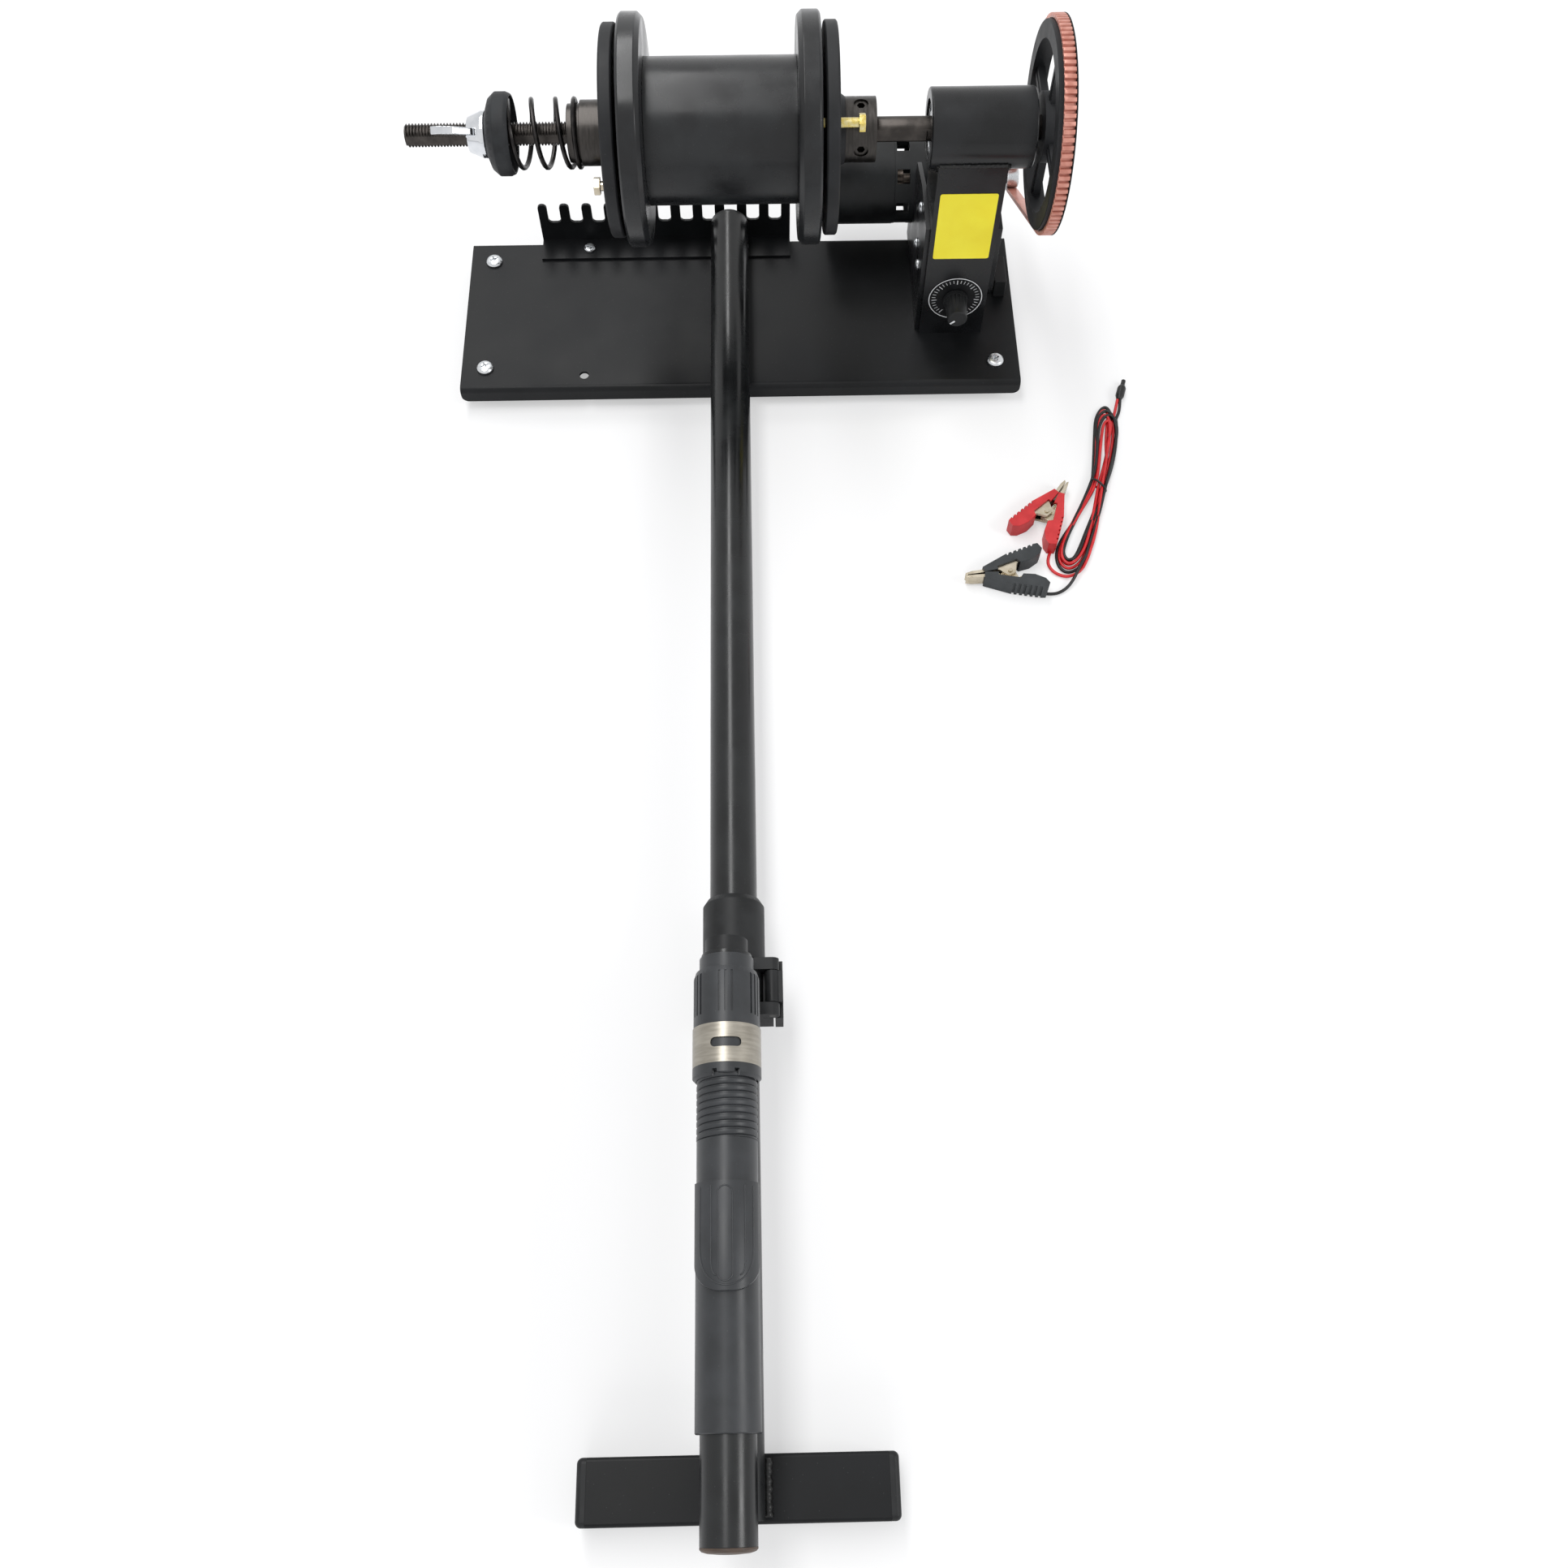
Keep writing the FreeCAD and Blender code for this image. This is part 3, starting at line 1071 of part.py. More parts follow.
def make_cheeks():
    """Two steel plates on the post: the left one cradles the motor, the right one holds its face."""
    front = postFace + size.cheekInset
    corner = size.cheekCorner
    top = size.motorZ + size.motorRadius + size.cheekRise
    foot = size.plateTop + size.holeGap
    rear = size.motorY - size.motorRadius * 0.2
    left_side = postX - size.postWidth / 2 - size.cheekThick
    right_side = postSide + size.faceThick
    cradle = padded("cheek_left", "YZ_Plane", [[
        (front, foot), (rear, foot), (rear, size.motorZ - size.motorRadius * 0.6),
        (size.motorY - size.motorRadius * 0.8, top - corner), (size.postY + size.postWidth / 2, top),
        (front, top)]], size.cheekThick)
    place(cradle, left_side, 0, 0)
    seat = place(rod("X", size.motorRadius + size.threadGap, size.cheekThick * 4),
                 left_side - size.cheekThick, size.motorY, size.motorZ)
    left_holes, right_holes, screws = [], [], []
    screw = turned("cheek_screw", "Z", pan_head(size.cheekHeadRadius, size.cheekHeadHeight,
                                                size.cheekScrewRadius, size.faceThick + size.postWall))
    gap = size.cheekScrewRadius + size.holeGap
    for y, z in cheek_screw_places():
        left_holes.append(place(rod("X", gap, size.cheekThick * 3), left_side - size.cheekThick, y, z))
        right_holes.append(place(rod("X", gap, size.faceThick * 3), postSide - size.faceThick, y, z))
        screws.append(copy_of(screw, left_side, y, z, Rotation(Vector(0, 1, 0), -90)))
        screws.append(copy_of(screw, right_side, y, z, Rotation(Vector(0, 1, 0), 90)))
    left = cut(cradle, [seat] + left_holes)

    reach = size.motorRadius - size.faceInset
    back = size.motorY + reach
    low = size.motorZ - reach
    high = size.motorZ + reach
    face = padded("cheek_right", "YZ_Plane", [[
        (front, size.motorZ - size.motorRadius * 0.25), (front + corner * 0.7, size.motorZ - reach * 0.7),
        (size.motorY - corner, low), (back - corner, low), (back, low + corner), (back, high - corner),
        (back - corner, high), (size.motorY - corner, top - corner * 0.7),
        (size.postY + size.postWidth / 2, top), (front, top)]],
        size.faceThick, circles=[(size.motorY, size.motorZ, size.commutatorRadius)])
    place(face, postSide, 0, 0)
    part(group([left, cut(face, right_holes)]), "motor_cheeks")
    return screws


def cheek_screw_places():
    """Three screws a side, all into the post's walls."""
    return [(size.postY + size.postWidth * 0.26, size.motorZ + size.motorRadius + size.cheekScrewDrop),
            (size.postY + size.postWidth * 0.36, size.motorZ + 3),
            (size.postY - size.postWidth * 0.05, size.motorZ + 1)]


# ---------------------------------------------------------------- speed control, knob and power inlet
def make_controls():
    wall_inside = postFace + size.postWall
    pot_front = wall_inside + size.potGap
    can = place(rod("Y", size.potRadius, size.potLength), knobX, pot_front, size.knobZ)
    bush = place(rod("Y", size.bushRadius, size.bushReach + size.postWall + 2 * size.potGap), knobX,
                 postFace - size.bushReach, size.knobZ)
    nut = padded("bush_nut", "XZ_Plane", [hexagon(size.bushNutAcross)], size.bushNutHeight)
    place(nut, knobX, postFace, size.knobZ)
    bore = place(rod("Y", size.potShaftRadius + size.threadGap, size.potLength * 2), knobX,
                 wall_inside - size.potLength * 1.3, size.knobZ)
    board = place(box(size.boardWidth, size.boardThick, size.boardHeight), postX,
                  pot_front + size.potLength + size.boardThick / 2,
                  size.plateTop + size.postFloor + size.boardThick)
    part(cut(fused([can, bush, nut, board]), [bore]), "speed_control")

    # knob: a skirt, a fluted body and a flat tip, with the control's own shaft inside it
    skirt = postFace - size.knobLength - size.knobGap
    step = size.knobLength - size.knobSkirt
    lip = size.knobRadius + size.knobSkirtLip
    shaft_bore = size.potShaftRadius + size.pressGap
    recess_end = size.knobLength - size.bushReach
    body = turned("knob_body", "Y", [
        (0, 0), (0, size.knobTipRadius - size.edgeBreak), (size.edgeBreak, size.knobTipRadius),
        (step, size.knobRadius), (step, lip), (size.knobLength, lip), (size.knobLength, size.knobRecess),
        (recess_end, size.knobRecess), (recess_end, shaft_bore), (size.knobTip, shaft_bore),
        (size.knobTip, 0)])
    place(body, knobX, skirt, size.knobZ)
    flutes = []
    for i in range(int(float(size.fluteCount))):
        angle = math.radians(360 * i / float(size.fluteCount))
        flute = rod("Y", size.knobFlute, step - 2 * size.edgeBreak)
        flutes.append(place(flute, knobX + size.knobRadius * math.cos(angle), skirt + 2 * size.edgeBreak,
                            size.knobZ + size.knobRadius * math.sin(angle)))
    shaft_start = skirt + size.knobTip + size.potGap
    shaft = place(rod("Y", size.potShaftRadius, pot_front + size.potLength / 2 - shaft_start),
                  knobX, shaft_start, size.knobZ)
    part(group([cut(body, flutes), shaft]), "speed_knob")

    case = place(box(size.inletWidth, size.inletDepth, size.inletHeight), inletX, size.inletY,
                 size.plateTop)
    side = inletX + size.inletWidth / 2
    jack = place(rod("X", size.jackRadius, size.jackDepth + 1), side - size.jackDepth, size.inletY,
                 size.plateTop + size.inletHeight / 2)
    part(cut(case, [jack]), "power_inlet")


# ---------------------------------------------------------------- battery lead, lying beside the winder
def rounded_route(points):
    """Straight runs joined by tangent arcs; returns the wire and the smallest arc radius."""
    corners = [Vector(*[float(value) for value in point]) for point in points]
    edges, radii = [], []
    start = corners[0]
    for before, corner, after in zip(corners, corners[1:], corners[2:]):
        into = (corner - before).normalize()
        out = (after - corner).normalize()
        turn = math.acos(max(-1.0, min(1.0, into.dot(out))))
        short = min((corner - before).Length, (after - corner).Length)
        radii.append(0.45 * short / math.tan(turn / 2))
        first = corner - into * (0.45 * short)
        last = corner + out * (0.45 * short)
        inward = (out - into).normalize()
        depth = radii[-1] * (1 / math.cos(turn / 2) - 1)
        edges.append(Part.LineSegment(start, first).toShape())
        edges.append(Part.Arc(first, corner + inward * depth, last).toShape())
        start = last
    edges.append(Part.LineSegment(start, corners[-1]).toShape())
    return Part.Wire(edges), min(radii)


def make_wire(name, points):
    """One insulated wire along a route of points, with a disc section at its start."""
    path, tightest = rounded_route(points)
    start = path.Edges[0]
    direction = start.tangentAt(start.FirstParameter)
    ring = Part.Wire(Part.makeCircle(float(size.wireRadius), start.Vertexes[0].Point, direction))
    wire = doc.addObject("Part::Feature", name)
    wire.Shape = path.makePipeShell([ring], True, True)
    ideal = math.pi * float(size.wireRadius) ** 2 * path.Length
    print(f"{name}: length {path.Length:.1f}, tightest arc {tightest:.1f}, "
          f"volume {wire.Shape.Volume / ideal:.4f} of section times length")
    place(wire, 0, 0, 0)
    part(wire, name)


HANK_OUTLINE = [(257.4, -85.5), (263, -79), (269.5, -79.6), (271.7, -73.6), (274.1, -74.4), (271.2, -83),
                (271.6, -97), (268.5, -112), (261.3, -133), (253.4, -155), (245.4, -180),
                (238.4, -200), (230.4, -217), (222, -224.4), (215.6, -219.4), (215, -207),
                (219, -196), (227.4, -181), (236.6, -164), (244.8, -146), (249.6, -128), (252.6, -108)]
PLUG_PLACE = (272.9, -74)
PLUG_HEADING = 72
RED_TAIL = [(210.5, -203.8), (207.8, -209.6), (208.3, -216.5), (212.6, -221.2), (218.5, -221.8)]
BLACK_TAIL = [(203.3, -237.4), (209.6, -238.2), (216.4, -235.2), (220.6, -229.8), (222.3, -223.8)]


def make_lead():
    lift = float(size.wireRadius) + 0.1
    hank = padded("lead_hank", "XY_Plane", [HANK_OUTLINE], size.hankHeight)
    part(place(hank, 0, 0, 0), "lead_hank")

    barrel = size.plugBarrelRadius
    length = size.plugLength
    plug = turned("dc_plug", "X", [
        (0, 0), (0, size.plugRadius * 0.55), (length * 0.3, size.plugRadius),
        (length * 0.85, size.plugRadius), (length, size.plugRadius * 0.75), (length, barrel),
        (length + size.plugBarrelLength, barrel), (length + size.plugBarrelLength, 0)])
    turn = Rotation(Vector(0, 0, 1), PLUG_HEADING)
    part(place(plug, PLUG_PLACE[0], PLUG_PLACE[1], size.plugRadius, turn), "dc_plug")
    make_wire("red_wire_tail", [(x, y, lift) for x, y in RED_TAIL])
    make_wire("black_wire_tail", [(x, y, lift) for x, y in BLACK_TAIL])


def clip_points(points):
    """Outline points drawn for a clip 60.5 long, brought to the clip's own length."""
    share = size.clipLength / 60.5
    return [(x * share, y * share) for x, y in points]


def lever_outline():
    """One stamped lever of a clip seen from above, tip along +X, its handle on the +Y side."""
    return clip_points([(-22, 8), (-22, 6.2), (-7, 3.6), (-3, -3.2), (3, -3.2), (7, 3.7), (17, 5.7),
            (30, 8.9), (31, 10.6), (26, 10.4), (17, 8.2), (8, 7), (-8, 8.2)])


def grip_outline():
    """The plastic sleeve of a lever, with a ribbed outer edge."""
    rib = float(size.gripRib)
    edge = 13.2
    points = [(18, 5.2), (18, 9.6), (-1, edge - 0.4)]
    for i in range(6):
        start = -3.2 - 3.9 * i
        points += [(start, edge), (start, edge - rib), (start - 1.7, edge - rib), (start - 1.7, edge)]
    points += [(-28.3, 12.6), (-29.5, 7.2), (-26, 3.8), (-18, 1.6), (-9.5, 2.4), (-8, 6),
               (8, 6), (8, 3.6)]
    return clip_points(points)


def lever_space():
    """The room inside a sleeve for its lever, open towards the other lever in front of the pin."""
    return clip_points([(19, 2), (19, 8.9), (17, 8.5), (8, 7.3), (-8, 8.5), (-22.4, 8.3), (-22.4, 5.8),
            (-8, 3.2), (-8, 2), (0, 2)])


# where each clip lies, the way its jaws point, and the side of the lever that is squeezed
CLIPS = {
    "red": {"x": 209.5, "y": -176, "heading": 57, "squeezed": 1},
    "black": {"x": 180, "y": -224, "heading": 186, "squeezed": -1},
}


def make_clips():
    """Two battery clips lying flat. Each has two levers on one pin, and a sleeve on each lever."""
    height = size.clipHeight
    lower_levers, pins = [], []
    for colour, spot in CLIPS.items():
        for side in (1, -1):
            mirror = Rotation(Vector(1, 0, 0), 0 if side > 0 else 180)
            heading = spot["heading"] - side * float(size.clipSpread)
            turn = Rotation(Vector(0, 0, 1), heading).multiply(mirror)
            squeezed = side == spot["squeezed"]
            lever = place(clip_lever(squeezed), spot["x"], spot["y"], height / 2, turn)
            sleeve = padded("sleeve", "XY_Plane", [grip_outline()], height, symmetric=True)
            hollow = padded("hollow", "XY_Plane", [lever_space()], height - 2 * size.jawThick,
                            symmetric=True)
            grip = place(cut(sleeve, [hollow]), spot["x"], spot["y"], height / 2, turn)
            if squeezed:
                part(lever, f"{colour}_clip_upper_lever")
                part(grip, f"{colour}_clip_upper_grip")
            else:
                lower_levers.append(lever)
                part(grip, f"{colour}_clip_lower_grip")
        pin = rod("Z", size.clipPinRadius, height - size.jawThick)
        pins.append(place(pin, spot["x"], spot["y"], size.jawThick / 2))
    part(group(lower_levers), "clip_lower_levers")
    part(group(pins), "clip_pins")


def clip_lever(outer_ears):
    """A lever. Round the pin one has two outer ears, and the other a single ear between them."""
    tall = size.clipHeight - 2 * size.jawThick - 0.4
    plate = padded("lever", "XY_Plane", [lever_outline()], tall, symmetric=True)
    eye = rod("Z", size.clipPinRadius + size.threadGap, tall * 2)
    eye.setExpression("Placement.Base.z", formula(-tall))
    reach = size.clipPinRadius * 4.6
    window = [rectangle(-reach, -reach, reach, size.clipPinRadius * 3.3)]
    layer = tall / 4
    if outer_ears:
        slot = padded("slot", "XY_Plane", window, 2 * (layer + 0.1), symmetric=True)
        return cut(plate, [eye, slot])
    caps = []
    for base in (-tall, layer - 0.1):
        cap = padded("slot", "XY_Plane", window, tall - layer + 0.1)
        cap.setExpression("Placement.Base.z", formula(base))
        caps.append(cap)
    return cut(plate, [eye] + caps)


# ---------------------------------------------------------------- build, check and write
make_base_plate()
foot_screws = make_feet()
make_comb()
make_arm()
make_foot_bar()
make_seat_pipe()
make_reel_seat()
make_clamp()
make_post()
make_bearings()
journal_end = make_spindle()
collar_screws = make_discs()
make_drive_bolts()
make_spool()
make_spring_and_cup()
make_wing_nut()
wheel_screw = make_wheel(journal_end)
make_belt()
make_motor()
cheek_screws = make_cheeks()
make_controls()
make_lead()
make_clips()
part(group(foot_screws + cheek_screws), "pan_screws")
part(group(collar_screws + [wheel_screw]), "spindle_screws")

doc.recompute()
failed = [thing.Label for thing in doc.Objects if {"Invalid", "Error"} & set(thing.State)]
failed += [piece.Label for piece in parts if piece.Shape.isNull() or not piece.Shape.isValid()]
if failed:
    raise RuntimeError(f"no valid shape: {', '.join(failed)}")

os.makedirs("parts", exist_ok=True)
for piece in parts:
    piece.Shape.exportStep(f"parts/{piece.Label}.step")
print(f"{len(parts)} parts written")
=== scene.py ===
import json
import math
import random
import bpy
from mathutils import Matrix, Vector

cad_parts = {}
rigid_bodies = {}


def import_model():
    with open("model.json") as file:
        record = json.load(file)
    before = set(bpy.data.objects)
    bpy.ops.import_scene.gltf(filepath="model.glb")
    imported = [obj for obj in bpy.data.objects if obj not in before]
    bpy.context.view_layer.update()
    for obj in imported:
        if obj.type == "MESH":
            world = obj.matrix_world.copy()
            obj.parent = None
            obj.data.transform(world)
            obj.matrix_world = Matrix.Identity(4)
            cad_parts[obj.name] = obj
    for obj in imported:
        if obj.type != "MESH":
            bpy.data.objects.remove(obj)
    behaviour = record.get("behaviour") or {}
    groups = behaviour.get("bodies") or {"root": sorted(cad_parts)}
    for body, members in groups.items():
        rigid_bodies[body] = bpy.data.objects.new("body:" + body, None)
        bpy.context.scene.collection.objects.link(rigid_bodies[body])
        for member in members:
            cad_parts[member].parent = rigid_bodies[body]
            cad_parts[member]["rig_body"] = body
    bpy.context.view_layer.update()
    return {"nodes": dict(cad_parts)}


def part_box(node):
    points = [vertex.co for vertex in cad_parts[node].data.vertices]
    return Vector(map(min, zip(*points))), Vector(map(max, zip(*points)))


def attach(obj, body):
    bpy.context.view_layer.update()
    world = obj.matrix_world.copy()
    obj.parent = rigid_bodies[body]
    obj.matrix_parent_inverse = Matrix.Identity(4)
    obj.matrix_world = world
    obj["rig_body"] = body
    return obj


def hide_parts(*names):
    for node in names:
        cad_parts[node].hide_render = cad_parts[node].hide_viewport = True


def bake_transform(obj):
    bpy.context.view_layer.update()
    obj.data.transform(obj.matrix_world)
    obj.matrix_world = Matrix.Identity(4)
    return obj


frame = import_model()
nodes = frame["nodes"]

mm = 0.001
plateLow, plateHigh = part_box("base_plate")
plateMiddle = (plateLow + plateHigh) / 2
spindle = {"y": -1.5, "z": 178}  # the spindle's axis


# x and y from the middle of the base plate, z from the floor, all in millimetres
def at(x, y, z):
    return Vector((plateMiddle.x + x * mm, plateMiddle.y + y * mm, z * mm))


# camera at the front of the arm, looking down at the machine
print("stage: camera and light")
cameraView = {"place": (14.58, -769.53, 823.64), "turn": (25.5601, -0.1005, -1.203), "lens": 33.083}
cameraData = bpy.data.cameras.new("camera")
cameraData.lens = cameraView["lens"]
cameraData.sensor_width = 36
cameraData.clip_end = 20
camera = bpy.data.objects.new("camera", cameraData)
bpy.context.scene.collection.objects.link(camera)
camera.location = at(*cameraView["place"])
camera.rotation_euler = [math.radians(a) for a in cameraView["turn"]]
bpy.context.scene.camera = camera
bpy.context.scene.view_settings.view_transform = "Standard"


def linear(hexColour):  # sRGB hex to the linear values that a shader takes
    channels = [int(hexColour[i:i + 2], 16) / 255 for i in (1, 3, 5)]
    return tuple(c / 12.92 if c < 0.04045 else ((c + 0.055) / 1.055) ** 2.4 for c in channels) + (1,)


def addNode(tree, kind, settings=None, **links):  # one node, its settings and what feeds it
    node = tree.nodes.new(kind)
    for name, value in (settings or {}).items():
        if hasattr(node, name):
            setattr(node, name, value)
        else:
            node.inputs[name].default_value = value
    for name, source in links.items():
        tree.links.new(source, node.inputs[name.replace("_", " ")])
    return node


def addMath(tree, operation, first, second):
    node = addNode(tree, "ShaderNodeMath", {"operation": operation})
    tree.links.new(first, node.inputs[0])
    if isinstance(second, float):
        node.inputs[1].default_value = second
    else:
        tree.links.new(second, node.inputs[1])
    return node.outputs[0]


def addMix(tree, share, first, second):  # the first shader at share 0, the second at share 1
    node = addNode(tree, "ShaderNodeMixShader", Fac=share)
    tree.links.new(first.outputs[0], node.inputs[1])
    tree.links.new(second.outputs[0], node.inputs[2])
    return node.outputs[0]


def emptyMaterial(name):
    material = bpy.data.materials.new(name)
    material.use_nodes = True
    material.node_tree.nodes.clear()
    return material, material.node_tree


# soft even light from all round, a long strip over the arm, and weaker lamps on the right and in front;
# lamp sizes are in metres, power in watts
lamps = {
    "overhead": {"place": (-450, 900, 2300), "aim": (-450, 900, 0), "size": (0.5, 3.4), "power": 46},
    "right": {"place": (1900, -900, 1500), "aim": (0, -200, 60), "size": (0.7, 0.7), "power": 13},
    "front": {"place": (-300, -2600, 900), "aim": (0, -200, 100), "size": (1.4, 1.0), "power": 12,
              "noGloss": True},
}
for name, lamp in lamps.items():
    data = bpy.data.lights.new(name, "AREA")
    data.shape = "RECTANGLE"
    data.size, data.size_y = lamp["size"]
    data.energy = lamp["power"]
    light = bpy.data.objects.new(name, data)
    bpy.context.scene.collection.objects.link(light)
    light.visible_glossy = not lamp.get("noGloss", False)
    light.location = at(*lamp["place"])
    light.rotation_euler = (at(*lamp["aim"]) - light.location).to_track_quat("-Z", "Y").to_euler()

studio = {"room": "#fbfcff", "level": 0.55, "paper": "#fbfbfb", "glow": 0.45,
          "floorSize": 8, "floorTop": -0.0004}
white = (1, 1, 1, 1)
world = bpy.data.worlds.new("studio")
bpy.context.scene.world = world
world.use_nodes = True
tree = world.node_tree
tree.nodes.clear()
paths = addNode(tree, "ShaderNodeLightPath").outputs
seen = addMath(tree, "MAXIMUM", paths["Is Camera Ray"], paths["Is Glossy Ray"])
seen = addMath(tree, "MAXIMUM", seen, paths["Is Transmission Ray"])
roomLight = addNode(tree, "ShaderNodeBackground", {
    "Color": linear(studio["room"]), "Strength": studio["level"]})
whiteWall = addNode(tree, "ShaderNodeBackground", {"Color": white, "Strength": 1.0})
addNode(tree, "ShaderNodeOutputWorld", Surface=addMix(tree, seen, roomLight, whiteWall))

bpy.ops.object.select_all(action="DESELECT")
bpy.ops.mesh.primitive_plane_add(size=studio["floorSize"], location=(0, 0, studio["floorTop"]))
floor = bpy.context.object
floor.name = "floor"
paper, tree = emptyMaterial("matte white paper")  # seamless backdrop paper, no grain that shows
shader = addNode(tree, "ShaderNodeBsdfPrincipled", {
    "Base Color": linear(studio["paper"]), "Roughness": 0.9, "Specular IOR Level": 0.0})
glow = addNode(tree, "ShaderNodeEmission", {"Color": white, "Strength": 1.0})
paths = addNode(tree, "ShaderNodeLightPath").outputs
# the glow lifts the paper to white and leaves the shadows light
share = addMath(tree, "MULTIPLY", paths["Is Camera Ray"], studio["glow"])
addNode(tree, "ShaderNodeOutputMaterial", Surface=addMix(tree, share, shader, glow))
floor.data.materials.append(paper)


